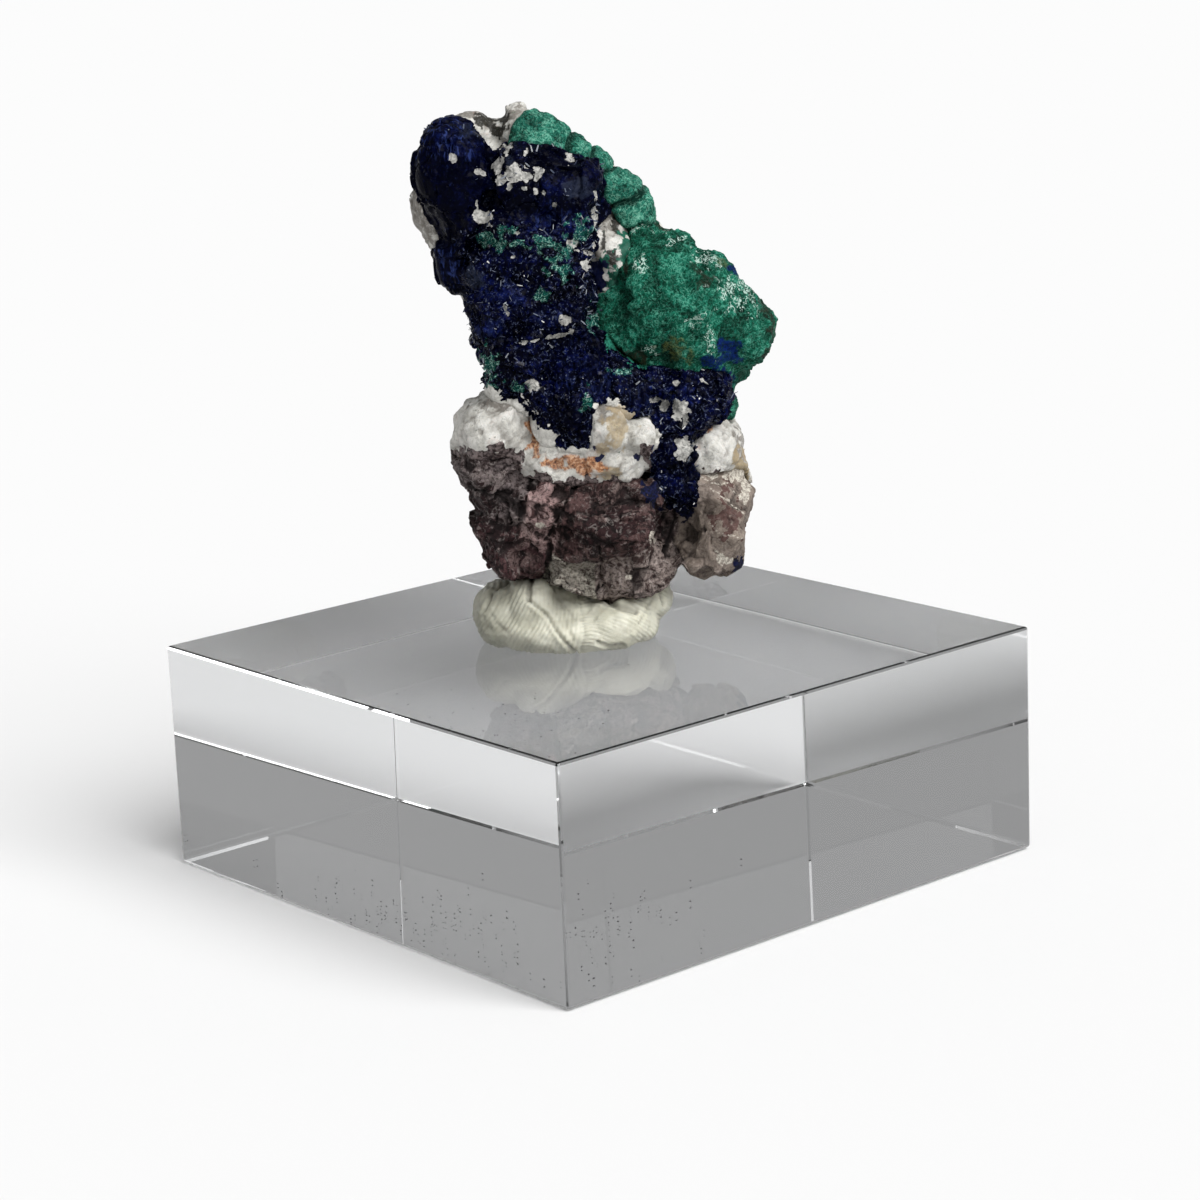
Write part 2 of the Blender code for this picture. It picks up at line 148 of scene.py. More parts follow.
# Lines are runs of pixels. The tack's creases are deep, fine or faint, and its ridges stand this far apart.
DEEP_CREASES = [[(531, 574), (530, 590), (528, 598)], [(602, 598), (618, 606), (636, 611)]]
FAINT_CREASES = [
    [(488, 610), (497, 623), (508, 632)], [(652, 598), (646, 612), (640, 624)],
    [(490, 594), (479, 604), (484, 620)], [(552, 586), (562, 604), (574, 618)],
    [(579, 589), (583, 612), (584, 634), (581, 653)], [(560, 600), (566, 622), (574, 640)],
]
FINE_CREASES = [
    [(528, 598), (545, 616), (562, 636), (576, 653)], [(508, 582), (492, 594), (484, 610)],
    [(598, 642), (612, 646), (622, 645)], [(660, 590), (664, 604)],
]
RIDGE_PIXELS = 4.3
RIGHT_ROLL_MIDDLE = (588, 672)
LEFT_RIDGES = math.radians(28)
MIDDLE_RIDGES = math.radians(8)
# Where the tack's left roll ends at its top, and where its middle one ends.
LEFT_ROLL_END = (531, 598)
MIDDLE_ROLL_END = 581

# Marks are (x, y, half width, half height), in pixels, and a lean in degrees clockwise where they have one.
# White bits on the azurite, with a few painted glints among them.
WHITE_AND_GLINTS_ON_AZURITE = [
    (505, 145, 7, 7), (497, 163, 5, 9), (518, 173, 14, 8, 6), (538, 172, 5, 7), (500, 180, 4, 6, 20),
    (453, 159, 4, 6, -25), (481, 172, 6, 3, 10), (482, 216, 9, 8, 20), (477, 205, 2, 5), (490, 226, 5, 2, 45),
    (523, 188, 4, 2, 20), (509, 187, 2, 3), (536, 192, 2, 4), (544, 192, 1.5, 3), (555, 204, 2, 3),
    (526, 151, 1.5, 4, 10), (570, 156, 4, 6), (596, 196, 2.5, 8), (596, 215, 3, 10), (572, 243, 6, 4),
    (588, 253, 11, 2.5, 14), (590, 265, 9, 6, 10), (594, 245, 2, 4), (518, 233, 3, 2), (513, 257, 2, 2),
    (506, 310, 1.5, 5, -25), (523, 342, 5, 2), (534, 341, 5, 1.5, -12), (548, 338, 4, 2),
    (562, 335, 7, 2, -12), (571, 332, 3, 3), (684, 449, 8, 13), (681, 412, 9, 10), (664, 405, 5, 6),
    (565, 321, 6, 5), (532, 385, 7, 6), (676, 381, 4, 4), (490, 118, 9, 5), (702, 380, 3, 3),
    (650, 352, 4, 3), (655, 400, 5, 3),
]
BARE_QUARTZ = [
    (611, 428, 19, 31), (643, 438, 15, 17), (478, 410, 22, 20, -20), (508, 414, 22, 18), (526, 432, 9, 20),
    (492, 398, 14, 9), (545, 439, 14, 12, 35), (572, 453, 30, 6),
]
OCHRE_ON_BARE = [(622, 424, 9, 22), (606, 452, 12, 8), (478, 398, 6, 4)]
BLUE_ON_AZURITE = [
    (446, 134, 26, 24), (560, 222, 30, 12), (590, 378, 28, 20, 30), (664, 398, 30, 14), (505, 300, 18, 22),
    (450, 270, 12, 22), (540, 320, 16, 10), (481, 291, 14, 14), (495, 323, 16, 11), (580, 362, 16, 20, 30),
    (475, 350, 12, 14), (652, 398, 16, 10),
]
# Grey-blue facets that catch the light, painted as highlights.
FACET_HIGHLIGHTS = [(577, 188, 17, 10, -25), (470, 131, 8, 12, 20), (509, 160, 4, 7), (474, 277, 8, 12, -20)]
# Where the azurite is painted nearly black as painted shade, and where green velvet lies over it.
SHADE_ON_AZURITE = [
    (594, 335, 14, 66, 4), (430, 214, 34, 44), (458, 296, 12, 44, -8), (520, 206, 34, 12), (505, 352, 26, 18),
    (540, 270, 26, 10), (575, 420, 26, 24), (640, 396, 18, 10, 20), (690, 470, 10, 26), (548, 160, 26, 12),
]
VELVET_ON_AZURITE = [(627, 338, 13, 36, -33), (614, 332, 9, 20)]
GREEN_ON_AZURITE = [
    (489, 239, 13, 6, 25), (508, 229, 8, 5), (539, 243, 8, 8), (557, 246, 12, 6, 8), (581, 230, 10, 11),
    (562, 268, 13, 10, 20), (541, 295, 6, 7), (514, 244, 10, 4), (596, 319, 7, 9), (489, 369, 8, 17, -15),
    (515, 385, 12, 4, 8), (586, 401, 5, 8), (622, 330, 7, 10), (620, 371, 9, 4, 20), (540, 133, 5, 3),
]
# Near-black brown on the lobe: its own brown patches, and painted shade on its top and right rim.
BROWN_AND_SHADE_ON_LOBE = [
    (706, 281, 7, 9, 30), (697, 270, 5, 7, -30), (664, 226, 12, 6, 10), (625, 262, 3, 9),
    (744, 270, 7, 16, -40), (764, 300, 8, 20, -32), (776, 330, 8, 18, -4), (632, 357, 16, 9, 10),
    (768, 352, 7, 14, 25), (655, 372, 12, 6), (752, 378, 5, 12, 30),
]
OLIVE_ON_LOBE = [(677, 352, 14, 10, 20), (724, 262, 6, 5, 30), (640, 366, 9, 9)]
# Pale mint spots and threads on the lobe: painted glints and sparkle.
GLINTS_ON_LOBE = [
    (644, 264, 6, 6), (708, 258, 10, 9, 30), (724, 287, 10, 8), (736, 302, 16, 8, 20), (672, 239, 9, 5, 20),
    (640, 226, 12, 6), (700, 322, 9, 6), (748, 292, 8, 14, -35), (632, 219, 10, 2.5, -8),
    (640, 350, 12, 3, 8), (712, 345, 4, 12, -15),
]
BLUE_ON_LOBE = [(729, 352, 13, 11, 20), (736, 270, 9, 5, 35), (712, 362, 12, 7, 10), (722, 376, 14, 8, 20)]
RUST_ON_QUARTZ = [
    (550, 463, 10, 7, 20), (584, 467, 22, 9, 4), (534, 434, 6, 20), (710, 414, 8, 12, 20), (536, 456, 5, 4),
]
OCHRE_ON_QUARTZ = [
    (611, 474, 16, 7, 10), (619, 424, 12, 24), (600, 452, 8, 6), (741, 470, 9, 22), (716, 412, 9, 12, 20),
]
GREEN_ON_QUARTZ = [(622, 284, 18, 16), (604, 262, 5, 8), (638, 246, 15, 36)]
# Where the quartz's notch, holes and dark hollows are painted near black, as painted shade.
SHADE_ON_QUARTZ = [
    (488, 120, 12, 7, 10), (500, 130, 9, 6), (501, 116, 6, 9), (600, 206, 7, 8), (617, 222, 5, 10),
    (610, 259, 7, 9), (604, 240, 2, 9),
]
GREY_ON_QUARTZ = [
    (414, 224, 26, 44), (470, 113, 12, 7), (514, 112, 6, 10, 10), (600, 262, 5, 14), (609, 217, 13, 17),
    (532, 384, 10, 8), (512, 388, 12, 5), (743, 455, 9, 26), (604, 408, 14, 12), (500, 404, 24, 7),
]
ROCK_ON_QUARTZ = [
    (470, 461, 24, 13, 8), (505, 462, 20, 14, 22), (540, 485, 14, 14, 20), (575, 490, 30, 13),
    (625, 492, 26, 14), (660, 470, 14, 26), (722, 500, 22, 26), (651, 455, 10, 12, -30),
]
BLUE_ON_QUARTZ = [
    (600, 458, 4, 3), (594, 450, 2, 5, -35), (638, 458, 5, 3), (655, 448, 3, 3), (596, 276, 10, 16),
]
BLUE_ON_ROCK = [(739, 565, 5, 8, 20), (676, 470, 14, 14), (664, 492, 18, 14), (687, 502, 7, 16, 10)]
WHITE_ON_ROCK = [
    (723, 559, 8, 8), (746, 492, 5, 12), (573, 574, 13, 2.5, 24), (541, 525, 5, 4), (684, 449, 8, 13),
    (738, 460, 12, 24), (716, 462, 18, 14), (652, 538, 4, 5), (628, 578, 4, 2), (560, 560, 6, 2, 20),
]

# Cracks and cavities are sunk into the rock's front, and painted near black inside as painted shade.
ROCK_CRACKS = [
    [(578, 479), (567, 500), (556, 518), (552, 530), (545, 540)], [(548, 548), (546, 562), (549, 575)],
    [(598, 548), (602, 560), (598, 590)], [(466, 487), (488, 496), (512, 492)],
    [(604, 512), (590, 516), (578, 512)], [(676, 500), (672, 530), (664, 552)],
]
ROCK_CAVITIES = [
    (530, 466, 8, 9, 20), (508, 500, 14, 8, 35), (520, 512, 6, 7), (549, 552, 4, 12), (668, 531, 7, 19),
    (538, 536, 5, 4), (566, 538, 3, 8, -25), (502, 446, 9, 3, 10), (484, 445, 8, 3),
]
MAROON_ON_ROCK = [
    (612, 530, 26, 16, -10), (630, 500, 14, 12), (590, 540, 12, 8), (480, 510, 12, 26, -10),
    (648, 452, 12, 9, -30), (655, 520, 8, 14), (730, 518, 13, 12, 30), (712, 470, 14, 4, 10),
    (500, 540, 18, 10, 20), (728, 484, 6, 5),
]
LOBE_VEINS = [
    [(708, 487), (724, 497), (741, 510), (748, 518)], [(710, 522), (720, 534), (742, 538)],
    [(700, 478), (712, 482), (730, 484)],
]
ROSETTE_VALLEY = [[(486, 118), (492, 150), (490, 190), (474, 236), (462, 262)]]

# The marks that each material reads, by name, with how ragged their edges are.
AZURITE_MARKS = {
    "white": (WHITE_AND_GLINTS_ON_AZURITE, 0.35), "green": (GREEN_ON_AZURITE, 0.8), "bare": (BARE_QUARTZ, 0.3),
    "ochre": (OCHRE_ON_BARE, 0.5), "blue": (BLUE_ON_AZURITE, 0.9), "facet_highlight": (FACET_HIGHLIGHTS, 0.3),
    "deep": (SHADE_ON_AZURITE, 0.9), "velvet": (VELVET_ON_AZURITE, 0.3),
}
LOBE_MARKS = {
    "brown": (BROWN_AND_SHADE_ON_LOBE, 0.4), "olive": (OLIVE_ON_LOBE, 0.6), "pale": (GLINTS_ON_LOBE, 0.9),
    "blue": (BLUE_ON_LOBE, 0.35),
}
QUARTZ_MARKS = {
    "rust": (RUST_ON_QUARTZ, 0.5), "ochre": (OCHRE_ON_QUARTZ, 0.5), "blue": (BLUE_ON_QUARTZ, 0.5),
    "dark": (SHADE_ON_QUARTZ, 0.5), "green": (GREEN_ON_QUARTZ, 0.5), "grey": (GREY_ON_QUARTZ, 0.5),
    "rock": (ROCK_ON_QUARTZ, 0.3),
}
ROCK_MARKS = {"maroon": (MAROON_ON_ROCK, 0.9), "blue": (BLUE_ON_ROCK, 0.5), "white": (WHITE_ON_ROCK, 0.5)}

# Each set of azurite blades: how many, their lengths and widths in mm, and how far they lean.
BLADE_SETS = [(1700, (0.35, 0.75), (0.08, 0.17), 1.3), (220, (0.8, 1.4), (0.18, 0.36), 1.1)]
# How many pale bits stand on the azurite: white mineral bits, and painted glints.
GRAIN_AND_GLINT_COUNT = 1250
# How many crumbs the block has, and how far from its middle they go to each side, in mm.
CRUMB_COUNT = 170
CRUMB_REACH = 24.0

# Malachite from dark to pale, on the lobe and on the nodules.
DEEP_GREENS = ((0.001, 0.014, 0.008), (0.004, 0.068, 0.04), (0.014, 0.165, 0.105), (0.12, 0.4, 0.29))
PALE_GREENS = ((0.002, 0.022, 0.015), (0.014, 0.12, 0.082), (0.05, 0.26, 0.18), (0.24, 0.56, 0.42))
FLOOR_COLOUR = (0.8, 0.8, 0.8)

# An edge is sharp past a piece's own angle, in degrees, and none is past this one.
ALL_SMOOTH = 180.0
# A pale dome of light, and a wide sun overhead that leans to one side and to the front.
DOME_STRENGTH = 0.34
SUN_STRENGTH = 3.75
SUN_WIDTH = math.radians(50)
SUN_TO_SIDE = math.radians(32)
SUN_TO_FRONT = math.radians(30)

noise.seed_set(1)


# Points, meshes and the two frames.

def turned(points, angle):
    """The points turned about the upright axis."""
    c, s = math.cos(angle), math.sin(angle)
    out = points.copy()
    out[:, 0] = points[:, 0] * c - points[:, 1] * s
    out[:, 1] = points[:, 0] * s + points[:, 1] * c
    return out


def to_specimen(points):
    """From the part's frame, in metres, to the specimen's, in mm."""
    out = turned(points / MM, -SPECIMEN_TURN)
    out[:, 2] -= BLOCK_HEIGHT
    return out


def to_part(points):
    """From the specimen's frame, in mm, to the part's, in metres."""
    lifted = points + np.array((0.0, 0.0, BLOCK_HEIGHT))
    return turned(lifted, SPECIMEN_TURN) * MM


def read(mesh, name):
    values = np.empty(len(mesh.vertices) * 3, np.float32)
    mesh.vertices.foreach_get(name, values)
    return values.reshape(-1, 3).astype(np.float64)


def write_points(mesh, points):
    mesh.vertices.foreach_set("co", points.astype(np.float32).ravel())
    mesh.update()


def skin(mesh):
    """The points of a mesh, and which way it faces at each."""
    return read(mesh, "co"), read(mesh, "normal")


def move_out(mesh, moves):
    """Moves each vertex along its normal by its own distance, in mm."""
    points, normals = skin(mesh)
    write_points(mesh, points + normals * moves[:, None])


def store(mesh, **marks):
    """Keeps numbers for each vertex, by name, for the material to read."""
    for name, values in marks.items():
        layer = mesh.attributes.new(name, "FLOAT", "POINT")
        layer.data.foreach_set("value", values.astype(np.float32))


def link(name, data):
    """A new object in the scene, for a mesh, a lamp or a camera."""
    obj = bpy.data.objects.new(name, data)
    bpy.context.scene.collection.objects.link(obj)
    return obj


def piece(name, parts):
    """A new piece, made of several of (points, faces, {mark: values})."""
    faces = []
    start = 0
    for points, own, _ in parts:
        faces += [[start + index for index in face] for face in own]
        start += len(points)
    mesh = bpy.data.meshes.new(name)
    mesh.from_pydata(np.concatenate([part[0] for part in parts]).tolist(), [], faces)
    mesh.update()
    store(mesh, **{mark: np.concatenate([part[2][mark] for part in parts]) for mark in parts[0][2]})
    return link(name, mesh)


def apply_modifiers(obj):
    graph = bpy.context.evaluated_depsgraph_get()
    old = obj.data
    mesh = bpy.data.meshes.new_from_object(obj.evaluated_get(graph))
    obj.modifiers.clear()
    obj.data = mesh
    bpy.data.meshes.remove(old)


def fuse(obj, voxel, rounds, factor=0.5):
    """Gives a piece one fine skin, and smooths it."""
    modifier = obj.modifiers.new("fuse", "REMESH")
    modifier.mode = "VOXEL"
    modifier.voxel_size = voxel
    apply_modifiers(obj)
    modifier = obj.modifiers.new("relax", "SMOOTH")
    modifier.iterations = rounds
    modifier.factor = factor
    apply_modifiers(obj)


def drawn_in(points, lumps):
    """The points, with what stands far out in front of the lumps drawn in."""
    reach = np.array([lump_reach(points, lump) for lump in lumps])
    offset = points - np.array([lump[:3] for lump in lumps])[reach.argmin(axis=0)]
    reach = reach.min(axis=0)
    front = step(-offset[:, 1] / np.linalg.norm(offset, axis=1), 0.1, 0.5)
    beyond = np.maximum(reach - FREE_REACH, 0.0) * (1 - KEPT_BEYOND)
    return points - offset * (front * beyond / reach)[:, None]


def fine_copy(node, name, voxel, rounds, lumps=(), core=()):
    """A fine, smoothed copy of a node's solid, with lumps fused to it, in the specimen's frame."""
    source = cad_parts[node].data
    solid = (to_specimen(read(source, "co")), [list(face.vertices) for face in source.polygons], {})
    obj = piece(name, [solid] + [lump_points(lump, 4) for lump in lumps])
    fuse(obj, voxel, rounds)
    if core:
        write_points(obj.data, drawn_in(read(obj.data, "co"), core))
        fuse(obj, voxel, rounds)
    write_points(obj.data, pushed(read(obj.data, "co")))
    return obj


# Noise and marks, each worked out for a whole array of points in mm.

def soft(points, size, shift=0.0, octaves=3):
    spots = (points / size + np.array((shift, shift * 1.7, -shift))).tolist()
    return np.array([noise.fractal(spot, 1.0, 2.1, octaves) for spot in spots])


def ridged(points, size, shift=0.0, octaves=3):
    """Noise with sharp crests, from 0 to about 1."""
    return 1 - np.abs(soft(points, size, shift, octaves)) * 2.0


def warped(points, size, reach, shift=0.0):
    """The points moved about by soft noise, to break straight edges."""
    spots = (points / size + shift).tolist()
    return points + reach * np.array([noise.noise_vector(spot) for spot in spots])


def chips(points, size, shift=0.0):
    """Heights of flat chips that each lean their own way, and how far each point is from a chip's edge."""
    spots = (points / size + shift).tolist()
    heights = np.empty(len(spots))
    edges = np.empty(len(spots))
    for index, spot in enumerate(spots):
        distances, centres = noise.voronoi(spot)
        centre = centres[0]
        lean = noise.noise_vector(centre * 5.3)
        heights[index] = lean.dot(Vector(spot) - centre) * 2.0 + noise.noise(centre * 3.1) * 0.5
        edges[index] = distances[1] - distances[0]
    return heights * size, edges * size


def step(values, low, high):
    """0 below low and 1 above high, smooth between."""
    t = np.clip((values - low) / (high - low), 0.0, 1.0)
    return t * t * (3.0 - 2.0 * t)


def bell(gaps, width):
    """1 at no gap, falling smoothly away over the width."""
    return np.exp(-(gaps / width) ** 2)


def held(moves, most):
    """The moves, eased so that none goes past the most."""
    return most * np.tanh(moves / most)


def lump_reach(points, lump):
    """1 on the lump's skin, less inside and more outside."""
    x, y, z, half_width, half_depth, half_height, lean, squareness = lump
    offset = points - np.array((x, y, z))
    c, s = math.cos(math.radians(lean)), math.sin(math.radians(lean))
    across = np.abs(c * offset[:, 0] - s * offset[:, 2]) / half_width
    away = np.abs(offset[:, 1]) / half_depth
    up = np.abs(s * offset[:, 0] + c * offset[:, 2]) / half_height
    return (across ** squareness + away ** squareness + up ** squareness) ** (1.0 / squareness)


def nearest(points, blocks):
    """Which block of lumps each point is in, and about how far it is from the seam, in mm."""
    reach = np.array([np.min([lump_reach(points, lump) for lump in lumps], axis=0) for lumps in blocks])
    order = np.sort(reach, axis=0)
    thickness = np.array([min(lumps[0][3], lumps[0][5]) for lumps in blocks])
    which = reach.argmin(axis=0)
    return which, (order[1] - order[0]) * thickness[which]


def camera_axes():
    """Right, up and forward of the camera, in the specimen's frame."""
    right = Vector((1.0, 0.0, 0.0))
    forward = Vector((0.0, math.cos(CAMERA_PITCH), -math.sin(CAMERA_PITCH)))
    up = Vector((0.0, math.sin(CAMERA_PITCH), math.cos(CAMERA_PITCH)))
    c, s = math.cos(CAMERA_ROLL), math.sin(CAMERA_ROLL)
    return right * c + up * s, up * c - right * s, forward


def photo_pixels(points):
    """Where each point of the specimen shows in the photograph."""
    right, up, forward = (np.array(axis) for axis in camera_axes())
    offset = points + np.array((0.0, 0.0, BLOCK_HEIGHT)) - np.array(CAMERA_SPOT)
    depth = offset @ forward
    focal = CAMERA_LENS / SENSOR * PHOTO_SIDE
    across = PHOTO_SIDE / 2 + focal * (offset @ right) / depth
    down = PHOTO_SIDE / 2 - focal * (offset @ up) / depth
    return np.stack((across, down), axis=1)


def pushed(points):
    """The points after the pushes, each of which fades away over its reach."""
    right, up, _ = (np.array(axis) for axis in camera_axes())
    pixels = photo_pixels(points)
    out = points.copy()
    for x, y, reach, across, down in PUSHES:
        gap = np.hypot(pixels[:, 0] - x, pixels[:, 1] - y) / reach
        weight = np.exp(-(gap * 1.6) ** 2) / PIXELS_PER_MM
        out += weight[:, None] * (across * right - down * up)
    return out


def lift_underside(points):
    """Lifts the rock's front edge to the line of its underside."""
    pixels = photo_pixels(points)
    across, down = np.array(ROCK_UNDERSIDE, float).T
    below = np.clip(pixels[:, 1] - np.interp(pixels[:, 0], across, down), 0.0, 60.0)
    out = points.copy()
    out[:, 2] += below * 0.9 / PIXELS_PER_MM
    return out


def front_marks(points, normals, marks, ragged):
    """1 inside a mark and 0 outside, with ragged edges, on faces towards the front only."""
    pixels = photo_pixels(points)
    rough = soft(points, 0.7, 11.0, 3) * ragged * 2.0
    best = np.full(len(points), np.inf)
    for x, y, half_width, half_height, *lean in marks:
        turn = math.radians(lean[0] if lean else 0)
        c, s = math.cos(turn), math.sin(turn)
        across, down = pixels[:, 0] - x, pixels[:, 1] - y
        reach = np.hypot((c * across + s * down) / half_width, (c * down - s * across) / half_height)
        best = np.minimum(best, reach)
    facing = step(-normals[:, 1], -0.35, 0.1)
    return step(-(best + rough), -1.25, -0.75) * facing


def marked(points, normals, marks):
    """Every mark of a piece, each by its name."""
    return {name: front_marks(points, normals, *mark) for name, mark in marks.items()}


def line_gap(pixels, lines):
    """How far each point shows from the nearest of the lines, in pixels."""
    best = np.full(len(pixels), np.inf)
    for line in lines:
        for start, end in zip(line, line[1:]):
            first, run = np.array(start, float), np.array(end, float) - np.array(start, float)
            along = np.clip((pixels - first) @ run / (run @ run), 0.0, 1.0)
            best = np.minimum(best, np.linalg.norm(pixels - first - along[:, None] * run, axis=1))
    return best


def near(points, others, reach):
    """1 where another piece is close, falling to 0 at reach mm."""
    tree = KDTree(len(others))
    for index, point in enumerate(others.tolist()):
        tree.insert(point, index)
    tree.balance()
    gaps = np.array([tree.find(point)[2] for point in points.tolist()])
    return 1 - step(gaps, reach * 0.5, reach)


# Crystals.

def blade_shape():
    """A six-sided blade, one unit tall and wide, with a chisel tip: its points and faces."""
    ring = [(math.cos(math.tau * k / 6), math.sin(math.tau * k / 6)) for k in range(6)]
    points = [(x, y, 0.0) for x, y in ring] + [(x * 0.9, y * 0.9, 0.72) for x, y in ring]
    points += [(-0.42, 0.0, 1.0), (0.42, 0.0, 1.0)]
    faces = [[k, (k + 1) % 6, (k + 1) % 6 + 6, k + 6] for k in range(6)]
    faces += [[5, 4, 3, 2, 1, 0]]
    faces += [[6, 7, 13], [7, 8, 12, 13], [8, 9, 12], [9, 10, 12], [10, 11, 13, 12], [11, 6, 13]]
    return np.array(points), faces


def turned_to(directions, spins):
    """A frame for each direction, spun about it: its third axis is the direction."""
    count = len(directions)
    helper = np.tile(np.array((0.0, 0.0, 1.0)), (count, 1))
    helper[np.abs(directions[:, 2]) > 0.9] = (1.0, 0.0, 0.0)
    side = np.cross(helper, directions)
    side /= np.linalg.norm(side, axis=1)[:, None]
    other = np.cross(directions, side)
    c, s = np.cos(spins)[:, None], np.sin(spins)[:, None]
    return np.stack((side * c + other * s, other * c - side * s, directions), axis=2)


def blades(roots, directions, lengths, widths, thins, spins, marks):
    """Blades standing on their roots, as (points, faces, marks)."""
    shape, faces = blade_shape()
    frames = turned_to(directions, spins)
    sizes = np.stack((widths, widths * thins, lengths), axis=1)
    scaled = shape[None, :, :] * sizes[:, None, :]
    points = roots[:, None, :] + np.einsum("nij,nkj->nki", frames, scaled)
    every = [[b * len(shape) + k for k in face] for b in range(len(roots)) for face in faces]
    spread = {name: np.repeat(values, len(shape)) for name, values in marks.items()}
    return points.reshape(-1, 3), every, spread


def pick_roots(points, normals, weights, count, rng):
    chance = np.clip(weights, 0.0, None)
    picked = rng.choice(len(points), size=count, replace=False, p=chance / chance.sum())
    return points[picked], normals[picked]


def leaned(normals, most, rng):
    out = normals + rng.uniform(-most, most, normals.shape)
    return out / np.linalg.norm(out, axis=1)[:, None]


# Materials.

class Finish:
    """A material whose nodes are added one at a time. Sizes are in mm."""

    def __init__(self, name):
        self.material = bpy.data.materials.new(name)
        self.material.use_nodes = True
        self.tree = self.material.node_tree
        self.shader = self.tree.nodes["Principled BSDF"]
        self.place = self.node("TexCoord", {}).outputs["Object"]

    def feed(self, socket, value):
        """Gives a socket a plain value, a colour, a mark by its name, or what comes out of another node."""
        if isinstance(value, str):
            value = self.mark(value)
        if isinstance(value, bpy.types.NodeSocket):
            self.tree.links.new(value, socket)
        elif socket.type == "RGBA" and len(value) == 3:
            socket.default_value = (*value, 1.0)
        else:
            socket.default_value = value

    def node(self, kind, inputs, **settings):
        made = self.tree.nodes.new("ShaderNode" + kind)
        for key, value in settings.items():
            setattr(made, key, value)
        for key, value in inputs.items():
            self.feed(made.inputs[key], value)
        return made

    def grain(self, size, detail=4.0, roughness=0.6, warp=0.0, stretch=None):
        place = self.place
        if stretch:
            place = self.node("Mapping", {"Vector": place, "Scale": stretch}).outputs[0]
        inputs = {"Vector": place, "Scale": 1.0 / (size * MM), "Detail": detail,
                  "Roughness": roughness, "Distortion": warp}
        return self.node("TexNoise", inputs).outputs["Fac"]

    def cells(self, size):
        return self.node("TexVoronoi", {"Vector": self.place, "Scale": 1.0 / (size * MM)}).outputs["Distance"]

    def mark(self, name, output="Fac"):
        return self.node("Attribute", {}, attribute_name=name).outputs[output]

    def band(self, value, low, high, to_low=0.0, to_high=1.0):
        inputs = {"Value": value, "From Min": low, "From Max": high, "To Min": to_low, "To Max": to_high}
        return self.node("MapRange", inputs, interpolation_type="SMOOTHSTEP").outputs[0]

    def threads(self, size, width, detail=2.0, warp=0.6):
        """1 along thin curved lines, whose width is a share of the noise's range."""
        value = self.grain(size, detail, 0.5, warp)
        rise = self.band(value, 0.5 - width, 0.5)
        return self.times(rise, self.band(value, 0.5, 0.5 + width, 1.0, 0.0))

    def lay(self, under, over, name, ragging, strength, low, high, most=1.0):
        """Lays one colour over another inside a mark, whose edge is made ragged by some noise."""
        ragged = self.sum(name, self.times(self.sum(ragging, -0.5), strength))
        return self.mix(self.band(ragged, low, high, 0.0, most), under, over)

    def flecks(self, value, dark, light, low=0.35, high=0.65):
        """From dark to light as the noise rises from low to high."""
        return self.mix(self.band(value, low, high), dark, light)

    def sum(self, *values):
        total = values[0]
        for value in values[1:]:
            total = self.node("Math", {0: total, 1: value}, operation="ADD").outputs[0]
        return total

    def times(self, a, b):
        return self.node("Math", {0: a, 1: b}, operation="MULTIPLY").outputs[0]

    def ramp(self, value, stops):
        made = self.node("ValToRGB", {"Fac": value})
        elements = made.color_ramp.elements
        while len(elements) < len(stops):
            elements.new(0.5)
        for element, (place, colour) in zip(elements, stops):
            element.position = place
            element.color = (*colour, 1.0)
        return made.outputs["Color"]

    def mix(self, factor, a, b, blend="MIX"):
        inputs = {0: factor, 6: a, 7: b}
        return self.node("Mix", inputs, data_type="RGBA", blend_type=blend).outputs[2]

    def bump(self, height, depth, under=None):
        inputs = {"Height": height, "Distance": depth * MM, "Strength": 1.0}
        if under:
            inputs["Normal"] = under
        return self.node("Bump", inputs).outputs["Normal"]

    def set(self, **inputs):
        for key, value in inputs.items():
            self.feed(self.shader.inputs[key.replace("_", " ")], value)


def clean_quartz(f, sugar, cloud):
    """White quartz with fine grey veins."""
    white = f.ramp(f.sum(f.times(cloud, 0.7), f.times(sugar, 0.3)), [
        (0.32, (0.32, 0.31, 0.285)), (0.47, (0.55, 0.54, 0.5)), (0.64, (0.74, 0.73, 0.7)),
    ])
    return f.mix(f.times(f.threads(1.3, 0.03, 5.0, 1.2), 0.4), white, (0.25, 0.24, 0.22))


def mint_threads(f):
    """Malachite fuzz: pale threads over dark green."""
    fuzz = f.grain(0.2, 5.0, 0.75, 2.5)
    green = f.ramp(fuzz, [
        (0.38, (0.0008, 0.006, 0.012)), (0.5, (0.004, 0.05, 0.042)), (0.62, (0.03, 0.2, 0.145)),
    ])
    return f.mix(f.times(f.threads(0.45, 0.05), f.band(fuzz, 0.4, 0.55)), green, (0.34, 0.6, 0.5))


